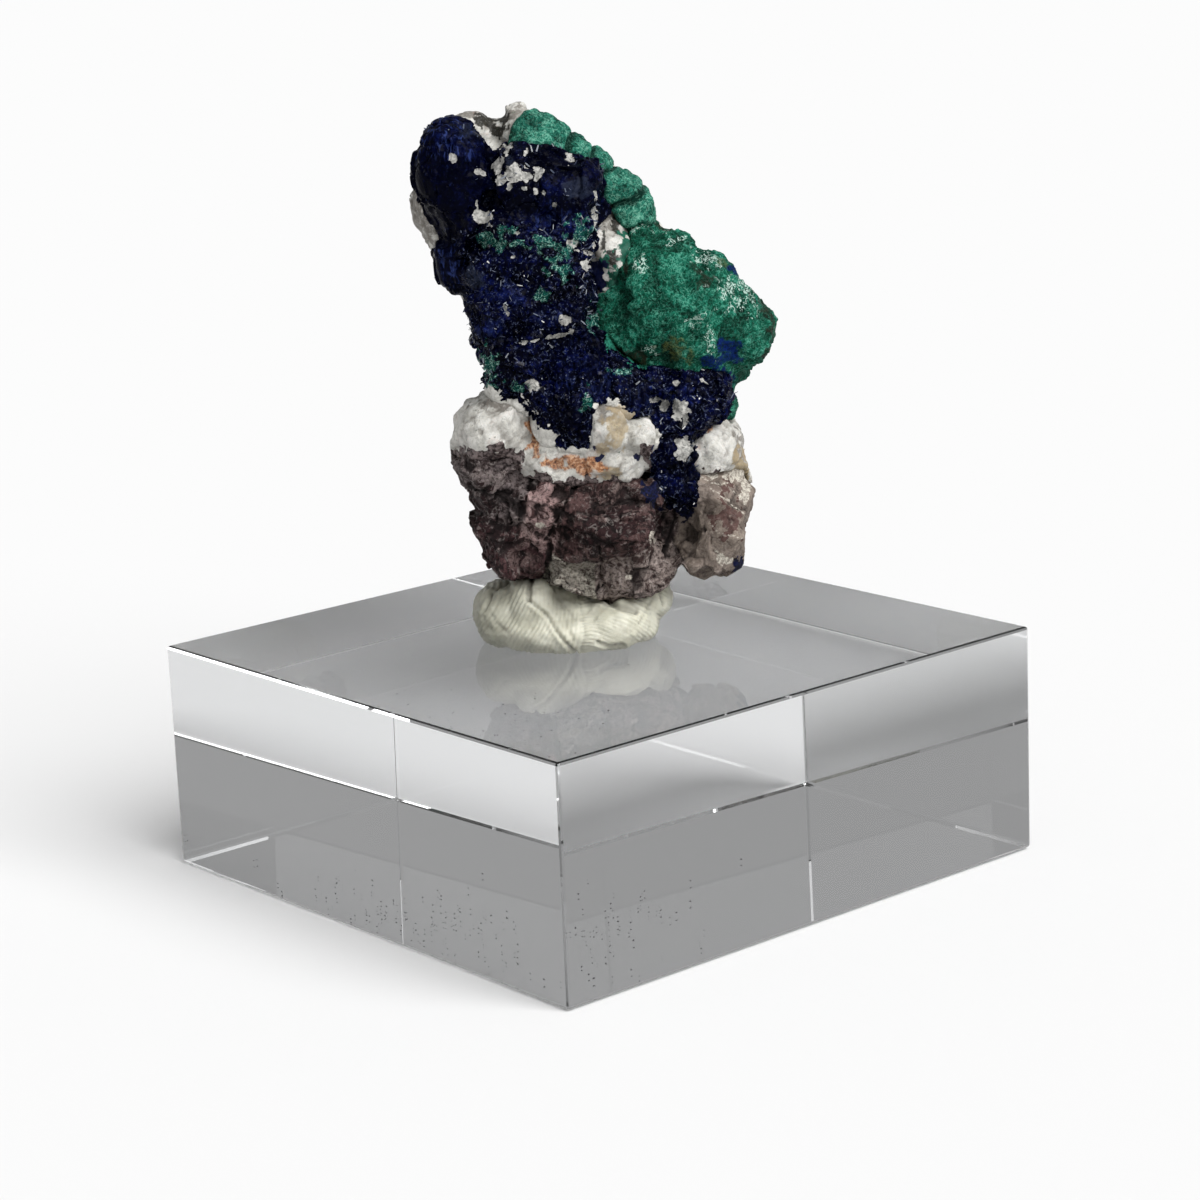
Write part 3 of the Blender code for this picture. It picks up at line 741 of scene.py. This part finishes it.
def azurite_finish(name, shine, roughest):
    f = Finish(name)
    fine = f.grain(0.3, 5.0, 0.65, 0.6)
    zone = f.grain(1.6, 3.0, 0.6)
    # The crest mark paints the azurite's body a little lighter on its crests, as painted highlight; on the
    # blades it is random.
    tone = f.sum(f.times(fine, 0.6), f.times(zone, 0.4), f.times("crest", 0.05))
    tone = f.sum(tone, f.times("blue", 0.07))
    blue = f.ramp(tone, [
        (0.4, (0.0002, 0.0003, 0.0016)), (0.52, (0.0005, 0.0009, 0.009)),
        (0.62, (0.0016, 0.0034, 0.036)), (0.78, (0.01, 0.022, 0.14)),
    ])
    # Painted glints: pale grey-blue threads along crystal edges on the rough parts.
    broken = f.times(f.band(f.grain(0.3, 4.0, 0.7), 0.5, 0.6), "rough")
    blue = f.mix(f.times(f.threads(0.5, 0.035, 3.0), broken), blue, (0.085, 0.105, 0.17))
    # Painted highlight: grey-blue on facets that catch the light.
    facet_highlight = f.mix(fine, (0.002, 0.004, 0.012), (0.036, 0.046, 0.082))
    blue = f.lay(blue, facet_highlight, "facet_highlight", fine, 2.0, 0.25, 1.05, 0.8)
    # Painted shade: the deep marks paint the azurite nearly black.
    blue = f.lay(blue, (0.0002, 0.0003, 0.0018), "deep", zone, 2.4, 0.2, 1.3, 0.8)
    blue = f.mix(f.band("rough", 0.7, 0.2, 0.0, 0.55), blue, (0.0002, 0.0004, 0.004))
    # Blue streaks on the blue parts, most on the rosette: partly its own striations, partly painted
    # highlight.
    striation_highlight = f.times(f.band(f.grain(0.45, 4.0, 0.65, 0.8, (1.0, 1.0, 0.3)), 0.5, 0.66), "blue")
    blue = f.mix(f.times(striation_highlight, f.band("rough", 0.9, 0.2, 0.25, 0.8)), blue, (0.024, 0.04, 0.145))
    # White bits, with a few painted glints, inside the white marks.
    pale = f.flecks(fine, (0.2, 0.2, 0.19), (0.5, 0.49, 0.46))
    coat = f.lay(blue, pale, "white", fine, 1.0, 0.4, 0.6)
    fuzz = f.grain(0.26, 5.0, 0.75, 2.5)
    coat = f.lay(coat, mint_threads(f), "green", fuzz, 2.8, 0.35, 1.2)
    fibre = f.grain(0.4, 6.0, 0.74, 2.0)
    velvet = f.flecks(fibre, (0.003, 0.036, 0.024), (0.034, 0.23, 0.155), 0.38, 0.64)
    coat = f.lay(coat, velvet, "velvet", fibre, 1.2, 0.35, 0.65)
    white = clean_quartz(f, fine, f.grain(1.1, 5.0, 0.6, 0.6))
    ochre = f.lay(white, (0.32, 0.24, 0.13), "ochre", fine, 1.8, 0.1, 1.1, 0.8)
    f.set(Base_Color=f.lay(coat, ochre, "bare", fine, 0.7, 0.42, 0.55))
    dull = f.sum("white", "bare", "velvet")
    f.set(Roughness=f.sum(f.band(zone, 0.35, 0.65, 0.16, roughest), f.times(dull, 0.3)))
    f.set(IOR=1.5, Specular_IOR_Level=shine, Normal=f.bump(f.sum(fine, f.times(f.cells(0.3), 0.5)), 0.035))
    return f


def malachite_finish(name, dark, middle, light, pale):
    f = Finish(name)
    fibre = f.grain(0.4, 6.0, 0.74, 2.0)
    patch = f.grain(1.8, 4.0, 0.6, 0.5)
    # Lighter on crests and darker in pits and between the nodules: painted highlight and painted shade.
    crest = f.times("crest", 0.1)
    tone = f.sum(f.times(fibre, 0.95), f.times(patch, 0.38), crest, f.times(f.grain(5.0), 0.1))
    green = f.ramp(tone, [(0.58, dark), (0.73, middle), (0.83, light), (0.99, pale)])
    thread = f.times(f.threads(0.42, 0.045), f.band(f.sum(patch, crest), 0.35, 0.65, 0.15, 0.7))
    green = f.mix(thread, green, pale)
    # Painted glints: pale mint threads inside the lobe's glint marks.
    painted_glints = f.times(f.threads(0.36, 0.055), f.band("pale", 0.2, 0.8))
    green = f.mix(painted_glints, green, (0.52, 0.7, 0.62))
    olive = f.flecks(fibre, (0.008, 0.012, 0.004), (0.13, 0.14, 0.04))
    coat = f.lay(green, olive, "olive", fibre, 2.8, 0.4, 1.5, 0.85)
    # Near-black brown: the lobe's own brown patches, and painted shade on its top and right rim.
    brown = f.flecks(fibre, (0.001, 0.002, 0.001), (0.028, 0.021, 0.014))
    coat = f.lay(coat, brown, "brown", fibre, 3.0, 0.45, 1.35, 0.95)
    blue = f.flecks(fibre, (0.0003, 0.0012, 0.01), (0.003, 0.016, 0.14))
    f.set(Base_Color=f.lay(coat, blue, "blue", fibre, 2.8, 0.25, 1.05, 0.95))
    f.set(Roughness=f.band(fibre, 0.3, 0.7, 0.75, 0.45), Specular_IOR_Level=0.05)
    f.set(Normal=f.bump(fibre, 0.12, f.bump(f.grain(0.16, 3.0, 0.6, 1.0), 0.04)))
    return f


def quartz_finish():
    f = Finish("sugary_quartz")
    sugar = f.grain(0.28, 4.0, 0.6)
    cloud = f.grain(1.6, 4.0, 0.6, 0.6)
    white = clean_quartz(f, sugar, cloud)
    dust = f.mix(sugar, (0.06, 0.052, 0.045), (0.22, 0.2, 0.175))
    dusty = f.lay(white, dust, "grey", sugar, 2.6, 0.15, 1.15, 0.9)
    # Painted shade: the quartz is darker where its surface sinks in.
    deep = f.mix(f.band("crest", -0.9, 0.0, 0.5, 0.0), dusty, (0.16, 0.14, 0.12))
    earth = f.mix(sugar, (0.07, 0.05, 0.035), (0.32, 0.25, 0.17))
    stain = f.times(f.band(f.grain(4.0, 6.0, 0.65, 0.8), 0.5, 0.66, 0.0, 0.85), "back")
    deep = f.mix(stain, deep, earth)
    moss_stain = f.times(f.band(f.grain(2.6, 6.0, 0.7, 1.2), 0.57, 0.66, 0.0, 0.9), "back")
    deep = f.mix(moss_stain, deep, f.mix(sugar, (0.004, 0.03, 0.022), (0.06, 0.3, 0.21)))
    sand = f.mix(sugar, (0.16, 0.11, 0.05), (0.5, 0.4, 0.24))
    ochre = f.lay(deep, sand, "ochre", sugar, 1.8, 0.1, 1.1, 0.8)
    rust = f.ramp(sugar, [
        (0.36, (0.08, 0.024, 0.012)), (0.5, (0.4, 0.155, 0.05)), (0.64, (0.66, 0.44, 0.28)),
    ])
    coat = f.lay(ochre, rust, "rust", cloud, 2.4, 0.12, 1.0, 0.92)
    brown = f.flecks(sugar, (0.02, 0.012, 0.012), (0.19, 0.15, 0.145), 0.38, 0.62)
    coat = f.lay(coat, brown, "rock", cloud, 0.8, 0.42, 0.55)
    # Painted shade: the notch, holes and hollows in the quartz are painted near black.
    notch_shade = f.flecks(sugar, (0.001, 0.0015, 0.001), (0.034, 0.03, 0.023))
    coat = f.lay(coat, notch_shade, "dark", sugar, 2.4, 0.2, 0.9)
    green = f.mix(sugar, (0.002, 0.016, 0.01), (0.02, 0.17, 0.11))
    coat = f.lay(coat, green, "green", sugar, 2.0, 0.25, 0.75)
    blue = f.mix(sugar, (0.0003, 0.0006, 0.006), (0.003, 0.008, 0.06))
    f.set(Base_Color=f.lay(coat, blue, "blue", sugar, 0.8, 0.4, 0.6))
    f.set(Roughness=f.band(sugar, 0.3, 0.7, 0.62, 0.4), Specular_IOR_Level=0.3)
    f.set(Subsurface_Weight=0.15, Subsurface_Radius=(0.6, 0.5, 0.4), Subsurface_Scale=0.0006)
    f.set(Normal=f.bump(sugar, 0.09, f.bump(cloud, 0.12)))
    return f


def rock_finish():
    f = Finish("purple_brown_rock")
    grit = f.grain(0.24, 5.0, 0.75)
    patch = f.grain(0.9, 6.0, 0.7, 0.8)
    tone = f.mark("tone", "Color")
    wide = f.band(f.grain(2.8, 3.0, 0.5), 0.48, 0.64, 0.0, 0.3)
    tone = f.mix(wide, tone, (0.27, 0.22, 0.2))
    wine = f.mix("rough", (0.17, 0.095, 0.082), (0.022, 0.007, 0.008))
    maroon = f.lay(tone, wine, "maroon", patch, 2.2, 0.35, 0.55, 0.95)
    dark = f.mix(1.0, maroon, (0.14, 0.1, 0.1), "MULTIPLY")
    mottled = f.mix(f.times(f.band(patch, 0.54, 0.4), "rough"), maroon, dark)
    pale = f.mix(0.5, f.mix(1.0, maroon, (1.8, 1.8, 1.8), "MULTIPLY"), (0.46, 0.43, 0.4))
    speckle = f.times(f.band(f.grain(0.55, 6.0, 0.72, 1.0), 0.52, 0.64, 0.0, 0.62), "rough")
    light = f.mix(speckle, mottled, pale)
    pits = f.times(f.band(grit, 0.54, 0.36), f.times("rough", 0.75))
    gritty = f.mix(pits, light, (0.01, 0.006, 0.006))
    # Painted shade: the rock is darker where its surface sinks in, at seams, chip edges, cracks and cavities.
    painted_recess_shade = f.mix(f.band("crest", -0.9, -0.1, 0.9, 0.0), gritty, (0.006, 0.003, 0.003))
    # Painted shade: cracks and cavities are painted near black.
    holes = f.lay(painted_recess_shade, (0.004, 0.002, 0.002), "hole", grit, 2.4, 0.4, 1.25, 0.95)
    bone = f.flecks(grit, (0.24, 0.21, 0.18), (0.62, 0.58, 0.5), 0.4, 0.6)
    veins = f.lay(holes, bone, "white", grit, 1.2, 0.35, 0.75)
    blue = f.flecks(grit, (0.0003, 0.0005, 0.004), (0.002, 0.005, 0.05), 0.4, 0.65)
    f.set(Base_Color=f.lay(veins, blue, "blue", patch, 1.2, 0.35, 0.55))
    f.set(Roughness=f.band(grit, 0.3, 0.7, 0.85, 0.6), Specular_IOR_Level=0.2)
    f.set(Normal=f.bump(grit, 0.09, f.bump(patch, 0.16)))
    return f


def tack_finish():
    f = Finish("putty")
    fine = f.grain(0.25, 4.0, 0.6)
    cloud = f.grain(2.4, 3.0, 0.5)
    putty = f.flecks(cloud, (0.56, 0.55, 0.44), (0.68, 0.67, 0.56))
    # Painted shade: the putty is darkened towards the tack's left side, by the shade mark.
    putty = f.mix(f.times("shade", 0.5), putty, (0.3, 0.3, 0.24))
    # Painted shade: the putty is darker in its creases and hollows.
    painted_crease_shade = f.mix(f.band("crest", -0.9, 0.1, 0.55, 0.0), putty, (0.18, 0.17, 0.14))
    f.set(Base_Color=painted_crease_shade, Roughness=f.band(fine, 0.3, 0.7, 0.62, 0.45))
    f.set(Subsurface_Weight=0.1, Subsurface_Radius=(0.8, 0.6, 0.4), Subsurface_Scale=0.0005)
    f.set(Normal=f.bump(fine, 0.02))
    return f


def acrylic_finish():
    f = Finish("clear_cast_acrylic")
    scratch = f.grain(2.0, 4.0, 0.6, 0.5, (1.0, 14.0, 1.0))
    f.set(Base_Color=(0.975, 0.98, 0.985), IOR=1.49, Transmission_Weight=1.0)
    f.set(Roughness=f.band(scratch, 0.66, 0.74, 0.002, 0.03))
    # Painted shade: a grey absorption darkens the clear block throughout, standing in for its dark
    # surroundings.
    shade_absorption = f.node("VolumeAbsorption", {"Color": (0.3, 0.31, 0.32), "Density": 5.0})
    out = f.tree.nodes["Material Output"]
    f.tree.links.new(shade_absorption.outputs[0], out.inputs["Volume"])
    return f


def crumb_finish():
    f = Finish("dark_crumbs")
    f.set(Base_Color=f.mix(f.grain(0.1), (0.01, 0.01, 0.015), (0.06, 0.05, 0.06)), Roughness=0.7)
    return f


def grain_and_glint_finish():
    f = Finish("grains_and_glints")
    fine = f.grain(0.15, 3.0, 0.6)
    # Dim blue-grey to white at random: white mineral bits, and painted glints on crystal edges.
    f.set(Base_Color=f.ramp("crest", [
        (0.0, (0.014, 0.02, 0.048)), (0.5, (0.1, 0.12, 0.17)),
        (0.85, (0.34, 0.36, 0.38)), (1.0, (0.8, 0.79, 0.76)),
    ]))
    f.set(Roughness=f.band(fine, 0.3, 0.7, 0.55, 0.25), Specular_IOR_Level=0.3, Normal=f.bump(fine, 0.03))
    return f


# Minerals.

def shade(obj, finish, angle):
    """Smooth shading, broken where faces meet at more than the angle, and the material."""
    mesh = obj.data
    mesh.shade_smooth()
    if angle < ALL_SMOOTH:
        mesh.set_sharp_from_angle(angle=math.radians(angle))
    mesh.materials.clear()
    mesh.materials.append(finish.material)


def hand_over(obj, slot, *nodes):
    """Puts a piece in the part's frame, riding on it and standing for its nodes."""
    write_points(obj.data, to_part(read(obj.data, "co")))
    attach(obj, "root")
    if nodes:
        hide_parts(*nodes)


def close_gaps(pieces, reach=1.0, growth=0.27):
    """Grows each piece where a neighbour is near, so that the two touch."""
    found = [read(obj.data, "co") for obj in pieces]
    for obj, points in zip(pieces, found):
        others = np.concatenate([other[::2] for other in found if other is not points])
        move_out(obj.data, growth * near(points, others, reach))


def shape_rock(rock):
    mesh = rock.data
    write_points(mesh, lift_underside(read(mesh, "co")))
    points, normals = skin(mesh)
    which, seam = nearest(warped(points, 1.4, 0.35), [lumps for _, lumps in ROCK_BLOCKS])
    foot = which == len(ROCK_BLOCKS) - 1
    broken, edge = chips(warped(points, 0.9, 0.2), 1.6)
    small, _ = chips(points, 0.6, 4.0)
    facing = step(-normals[:, 1], -0.3, 0.1)
    pixels = photo_pixels(warped(points, 0.8, 0.15))
    crack = bell(line_gap(pixels, ROCK_CRACKS), 1.7) * facing
    cavity = front_marks(points, normals, ROCK_CAVITIES, 0.4)
    moves = held(0.26 * broken, 0.45) + 0.12 * small + 0.1 * soft(points, 1.0, 2.0, 4)
    moves -= 0.11 * bell(seam, 0.16)
    moves *= np.where(foot, 0.6, 1.0)
    moves -= 0.08 * bell(edge, 0.1) + 0.3 * crack + 0.22 * cavity
    move_out(mesh, moves)
    tones = np.array([(*tone, 1.0) for tone, _ in ROCK_BLOCKS])[which]
    layer = mesh.attributes.new("tone", "FLOAT_COLOR", "POINT")
    layer.data.foreach_set("color", tones.astype(np.float32).ravel())
    marks = marked(points, normals, ROCK_MARKS)
    veins = bell(line_gap(pixels, LOBE_VEINS), 1.3) * facing
    marks["white"] = np.maximum(marks["white"], 0.66 * veins)
    # The hole mark paints cracks and cavities near black as painted shade.
    store(mesh, crest=np.clip(moves / 0.3, -1.5, 1.0), hole=np.maximum(cavity, crack), **marks)
    store(mesh, rough=np.where(foot, 0.45, 1.0))


def shape_quartz(quartz):
    mesh = quartz.data
    points, normals = skin(mesh)
    broken, edge = chips(warped(points, 1.2, 0.3), 1.3, 6.0)
    moves = 0.1 * broken + 0.12 * soft(points, 0.9, 5.0, 4) - 0.1 * bell(edge, 0.08)
    moves += 0.16 * soft(points, 2.4, 8.0, 2)
    move_out(mesh, moves)
    store(mesh, crest=np.clip(moves / 0.22, -1.5, 1.0), back=step(normals[:, 1], -0.2, 0.5))
    store(mesh, **marked(points, normals, QUARTZ_MARKS))


def shape_lobe(lobe):
    mesh = lobe.data
    points, normals = skin(mesh)
    tufts = ridged(warped(points, 1.0, 0.4, 3.0), 0.9, 7.0, 3)
    facets, _ = chips(warped(points, 1.5, 0.3, 5.0), 2.4, 3.0)
    moves = 0.12 * (tufts - 0.6) + 0.14 * soft(points, 1.6, 3.0, 3) + 0.07 * soft(points, 0.35, 1.0, 2)
    moves += held(0.1 * facets, 0.28)
    move_out(mesh, moves)
    store(mesh, crest=np.clip(moves / 0.22, -1.5, 1.0), **marked(points, normals, LOBE_MARKS))


def shape_nodules(nodules):
    mesh = nodules.data
    points = read(mesh, "co")
    _, seam = nearest(warped(points, 0.9, 0.12), [[lump] for lump in NODULE_LUMPS])
    moves = 0.1 * soft(points, 0.8, 3.0, 4) + 0.05 * soft(points, 0.3, 1.0, 2) - 0.3 * bell(seam, 0.16)
    move_out(mesh, moves)
    # The crest mark sinks low in the gaps between nodules, which the finish paints dark as painted shade.
    store(mesh, crest=np.clip(moves / 0.12, -2.0, 1.0))
    store(mesh, **{name: np.zeros(len(points)) for name in LOBE_MARKS})


def calm_part(points):
    """1 on the calmer top of the azurite and 0 below it."""
    return step(points[:, 2], CALM_FROM, CALM_TO)


def kept_clear(points, normals):
    """1 where quartz or velvet shows, so that no blade or grain stands there."""
    return step(front_marks(points, normals, BARE_QUARTZ + VELVET_ON_AZURITE, 0.1), 0.0, 0.2)


def shape_azurite(azurite):
    mesh = azurite.data
    points, normals = skin(mesh)
    which, _ = nearest(warped(points, 1.5, 0.4), [[lump] for lump in AZURITE_LUMPS])
    smooth = (which < ROSETTE_LUMPS).astype(float)
    calm = calm_part(points)
    big, big_edge = chips(warped(points, 1.6, 0.15), 2.2, 2.0)
    middle, _ = chips(warped(points, 1.0, 0.1), 0.95, 5.0)
    small, _ = chips(points, 0.45, 7.0)
    plates, _ = chips(points * np.array((1.0, 1.0, 0.25)), 0.9, 3.0)
    broad = held((0.16 + 0.1 * calm) * big, 0.4)
    rough = broad + (0.24 - 0.1 * calm) * middle + (0.3 - 0.25 * calm) * small
    moves = held(rough * (1 - smooth) + smooth * (0.2 * plates + 0.5 * broad), 0.4)
    facing = step(-normals[:, 1], -0.3, 0.1)
    valley = bell(line_gap(photo_pixels(points), ROSETTE_VALLEY), 4.0) * facing
    moves -= 0.8 * valley + 0.1 * bell(big_edge, 0.1)
    marks = marked(points, normals, AZURITE_MARKS)
    plain = np.maximum(0.6 * marks["white"], 0.75 * np.maximum(marks["bare"], marks["velvet"]))
    bulge = 0.1 + 0.25 * soft(points, 1.8, 4.0, 2)
    moves = moves * (1 - plain) - 0.15 * marks["white"] + marks["bare"] * bulge
    move_out(mesh, moves)
    store(mesh, rough=(1 - 0.8 * smooth) * (1 - 0.6 * calm), **marks)
    store(mesh, crest=np.clip(moves / 0.3, -1.0, 1.2))
    return smooth, valley


def azurite_blades(azurite, smooth, valley):
    """Small blades over the azurite, thick on the druse and few on the rosette."""
    rng = np.random.default_rng(12)
    points, normals = skin(azurite.data)
    outline = step(np.abs(normals[:, 0]), 0.6, 0.9)
    weights = (1 - 0.98 * smooth) * (1 - 0.8 * calm_part(points)) * (1 - valley) * (1 - 0.8 * outline)
    weights = weights * (1 - kept_clear(points, normals)) + 0.0002
    parts = []
    for count, long, wide, lean in BLADE_SETS:
        roots, outward = pick_roots(points, normals, weights, count, rng)
        directions = leaned(outward, lean, rng)
        lengths = rng.uniform(*long, count)
        widths = rng.uniform(*wide, count)
        marks = {"crest": rng.uniform(-0.9, 0.9, count), "rough": np.ones(count)}
        marks.update(marked(roots, outward, AZURITE_MARKS))
        sunk = roots - outward * 0.1 - directions * lengths[:, None] * 0.6
        spins = rng.uniform(0, math.tau, count)
        parts.append(blades(sunk, directions, lengths, widths, rng.uniform(0.25, 0.6, count), spins, marks))
    return piece("azurite_blades", parts)


def grains_and_glints(azurite, smooth):
    """Tiny pale bits and splinters caught between the blades, from dim blue-grey to white: partly white
    mineral bits, partly painted glints on crystal edges.
    """
    rng = np.random.default_rng(5)
    points, normals = skin(azurite.data)
    patchy = step(soft(points, 2.2, 6.0, 2), -0.2, 0.35) + 0.1
    dark = front_marks(points, normals, *AZURITE_MARKS["deep"])
    weights = patchy * (1 - 0.6 * dark) * (1 - 0.85 * smooth) * (1 - 0.55 * calm_part(points))
    weights = weights * (1 - kept_clear(points, normals))
    roots, outward = pick_roots(points, normals, weights, GRAIN_AND_GLINT_COUNT, rng)
    lengths = rng.uniform(0.12, 0.6, GRAIN_AND_GLINT_COUNT)
    widths = rng.uniform(0.025, 0.075, GRAIN_AND_GLINT_COUNT)
    spins = rng.uniform(0, math.tau, GRAIN_AND_GLINT_COUNT)
    marks = {"crest": rng.uniform(0.0, 1.0, GRAIN_AND_GLINT_COUNT) ** 1.9}
    directions = leaned(outward, 2.2, rng)
    thins = rng.uniform(0.4, 1.0, GRAIN_AND_GLINT_COUNT)
    return piece("azurite_grains_and_glints", [
        blades(roots - directions * 0.04, directions, lengths, widths, thins, spins, marks),
    ])


def lump_points(lump, subdivisions):
    bm = bmesh.new()
    bmesh.ops.create_icosphere(bm, subdivisions=subdivisions, radius=1.0)
    x, y, z, half_width, half_depth, half_height, lean, squareness = lump
    for vert in bm.verts:
        vert.co /= sum(abs(c) ** squareness for c in vert.co) ** (1 / squareness)
    place = Matrix.Translation((x, y, z)) @ Matrix.Rotation(math.radians(lean), 4, "Y")
    size = Matrix.Diagonal((half_width, half_depth, half_height, 1.0))
    bmesh.ops.transform(bm, matrix=place @ size, verts=bm.verts)
    points = np.array([vert.co for vert in bm.verts])
    faces = [[vert.index for vert in face.verts] for face in bm.faces]
    bm.free()
    return points, faces, {}


def ridge_phase(pixels):
    """The tack's ridges: leaning on the left, near upright in the middle, in arcs about the right roll."""
    across, down = pixels[:, 0], pixels[:, 1]
    left = across * math.cos(LEFT_RIDGES) + down * math.sin(LEFT_RIDGES)
    middle = across * math.cos(MIDDLE_RIDGES) + down * math.sin(MIDDLE_RIDGES)
    right = np.hypot(across - RIGHT_ROLL_MIDDLE[0], (down - RIGHT_ROLL_MIDDLE[1]) * 1.3)
    first = across < LEFT_ROLL_END[0] + np.clip(down - LEFT_ROLL_END[1], 0.0, 60.0) * 0.8
    last = across > MIDDLE_ROLL_END
    return np.where(first, left, np.where(last, right, middle)) * math.tau / RIDGE_PIXELS


def mineral_tack():
    """The pad of tack with its folds and fine ridges, flat where it sits on the block."""
    tack = piece("tack_rolls", [lump_points(lump, 5) for lump in TACK_LUMPS])
    fuse(tack, 0.13, 14, 0.8)
    mesh = tack.data
    points = read(mesh, "co")
    pixels = photo_pixels(warped(points, 2.2, 0.22, 2.0))
    fade = step(soft(points, 1.8, 9.0, 2), -0.45, 0.1)
    moves = 0.05 * np.sin(ridge_phase(pixels)) * (0.3 + 0.7 * fade) + 0.14 * soft(points, 1.6, 1.0, 3)
    deep = bell(line_gap(pixels, DEEP_CREASES), 3.2)
    fine = bell(line_gap(pixels, FINE_CREASES), 1.6)
    faint = bell(line_gap(pixels, FAINT_CREASES), 1.6)
    lip = bell(line_gap(pixels, FINE_CREASES) - 4.0, 2.0)
    moves += 0.08 * lip - 0.45 * deep - 0.2 * fine - 0.09 * faint
    moves += 0.05 * soft(points, 0.5, 4.0, 3)
    move_out(mesh, moves)
    points = read(mesh, "co")
    points[:, 2] = np.maximum(points[:, 2], TACK_LIFT)
    write_points(mesh, points)
    # The shade mark paints the tack darker towards its left side, as painted shade.
    store(mesh, crest=np.clip(moves / 0.3, -1.5, 1.0), shade=1 - step(points[:, 0], -8.5, -1.0))
    return tack


def crumbs():
    """Dark specks in the block, just above its underside, most of them under its front left."""
    rng = np.random.default_rng(9)
    spots = rng.normal((-12.0, -14.0), (9.0, 8.0), (CRUMB_COUNT, 2))
    flat = turned(np.column_stack((spots, np.zeros(CRUMB_COUNT))), SPECIMEN_TURN)
    spots = spots[(np.abs(flat[:, :2]) < CRUMB_REACH).all(axis=1)]
    count = len(spots)
    roots = np.column_stack((spots, rng.uniform(0.12, 0.3, count) - BLOCK_HEIGHT))
    directions = leaned(np.tile((0.0, 0.0, 1.0), (count, 1)), 0.5, rng)
    sizes = rng.uniform(0.05, 0.12, count)
    thins = rng.uniform(0.4, 1.0, count)
    spins = rng.uniform(0, math.tau, count)
    return piece("block_crumbs", [blades(roots, directions, sizes * 0.6, sizes, thins, spins, {})])


def build_minerals():
    rock = fine_copy("host_rock", "rock", voxel=0.19, rounds=2, lumps=ROCK_LUMPS)
    quartz = fine_copy("white_quartz", "quartz", voxel=0.2, rounds=4, lumps=QUARTZ_LUMPS)
    lobe = fine_copy("malachite_lobe", "malachite", voxel=0.16, rounds=6)
    nodules = fine_copy("malachite_nodules", "malachite_small", voxel=0.13, rounds=6)
    azurite = fine_copy("azurite_crystals", "azurite", voxel=0.17, rounds=2, core=AZURITE_LUMPS)
    close_gaps([rock, quartz, lobe, nodules, azurite])
    shape_rock(rock)
    shape_quartz(quartz)
    shape_lobe(lobe)
    shape_nodules(nodules)
    smooth, valley = shape_azurite(azurite)
    thorns = azurite_blades(azurite, smooth, valley)
    grain_glint_piece = grains_and_glints(azurite, smooth)
    velvet = malachite_finish("malachite_velvet", *DEEP_GREENS)
    pale = malachite_finish("malachite_pale", *PALE_GREENS)
    # Each piece has its finish, the angle that makes an edge sharp, its slot, and the node it stands for.
    for obj, finish, angle, slot, *nodes in (
        (rock, rock_finish(), 40.0, "host_rock", "host_rock"),
        (quartz, quartz_finish(), 50.0, "white_quartz", "white_quartz"),
        (lobe, velvet, ALL_SMOOTH, "malachite", "malachite_lobe"),
        (nodules, pale, ALL_SMOOTH, "pale_malachite", "malachite_nodules"),
        (azurite, azurite_finish("azurite_blue", 0.025, 0.36), 30.0, "azurite", "azurite_crystals"),
        (thorns, azurite_finish("azurite_glint", 0.16, 0.2), 15.0, "azurite"),
        (grain_glint_piece, grain_and_glint_finish(), 15.0, "white_quartz"),
        (mineral_tack(), tack_finish(), ALL_SMOOTH, "mineral_tack", "mineral_tack"),
        (crumbs(), crumb_finish(), 15.0, "host_rock"),
    ):
        shade(obj, finish, angle)
        hand_over(obj, slot, *nodes)


def finish_block():
    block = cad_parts["acrylic_block"]
    finish = acrylic_finish()
    for slot in block.material_slots:
        slot.material = finish.material


# Stage, light and camera.

def stage():
    f = Finish("pale_floor")
    f.set(Base_Color=FLOOR_COLOUR, Roughness=0.9, Specular_IOR_Level=0.0)
    bpy.ops.mesh.primitive_plane_add(size=8.0, location=(0, 0, -0.0002))
    floor = bpy.context.object
    floor.name = "floor"
    floor.data.materials.append(f.material)


def lights():
    world = bpy.data.worlds.new("studio")
    bpy.context.scene.world = world
    world.use_nodes = True
    background = world.node_tree.nodes["Background"]
    background.inputs["Color"].default_value = (1.0, 1.0, 1.0, 1.0)
    background.inputs["Strength"].default_value = DOME_STRENGTH
    sky = bpy.data.lights.new("overhead", "SUN")
    sky.energy = SUN_STRENGTH
    sky.angle = SUN_WIDTH
    lean = Matrix.Rotation(SUN_TO_SIDE, 4, "Y") @ Matrix.Rotation(SUN_TO_FRONT, 4, "X")
    link("overhead", sky).matrix_world = Matrix.Rotation(SPECIMEN_TURN, 4, "Z") @ lean


def camera():
    right, up, forward = camera_axes()
    eye = bpy.data.cameras.new("camera")
    eye.lens = CAMERA_LENS
    eye.sensor_width = SENSOR
    eye.clip_start = 0.01
    eye.clip_end = 20.0
    obj = link("camera", eye)
    spot = Vector(CAMERA_SPOT) * MM
    facing = Matrix([*zip(right, up, -forward, spot), (0.0, 0.0, 0.0, 1.0)])
    obj.matrix_world = Matrix.Rotation(SPECIMEN_TURN, 4, "Z") @ facing
    bpy.context.scene.camera = obj


camera()
stage()
lights()
bpy.context.scene.view_settings.view_transform = "Standard"
finish_block()
build_minerals()
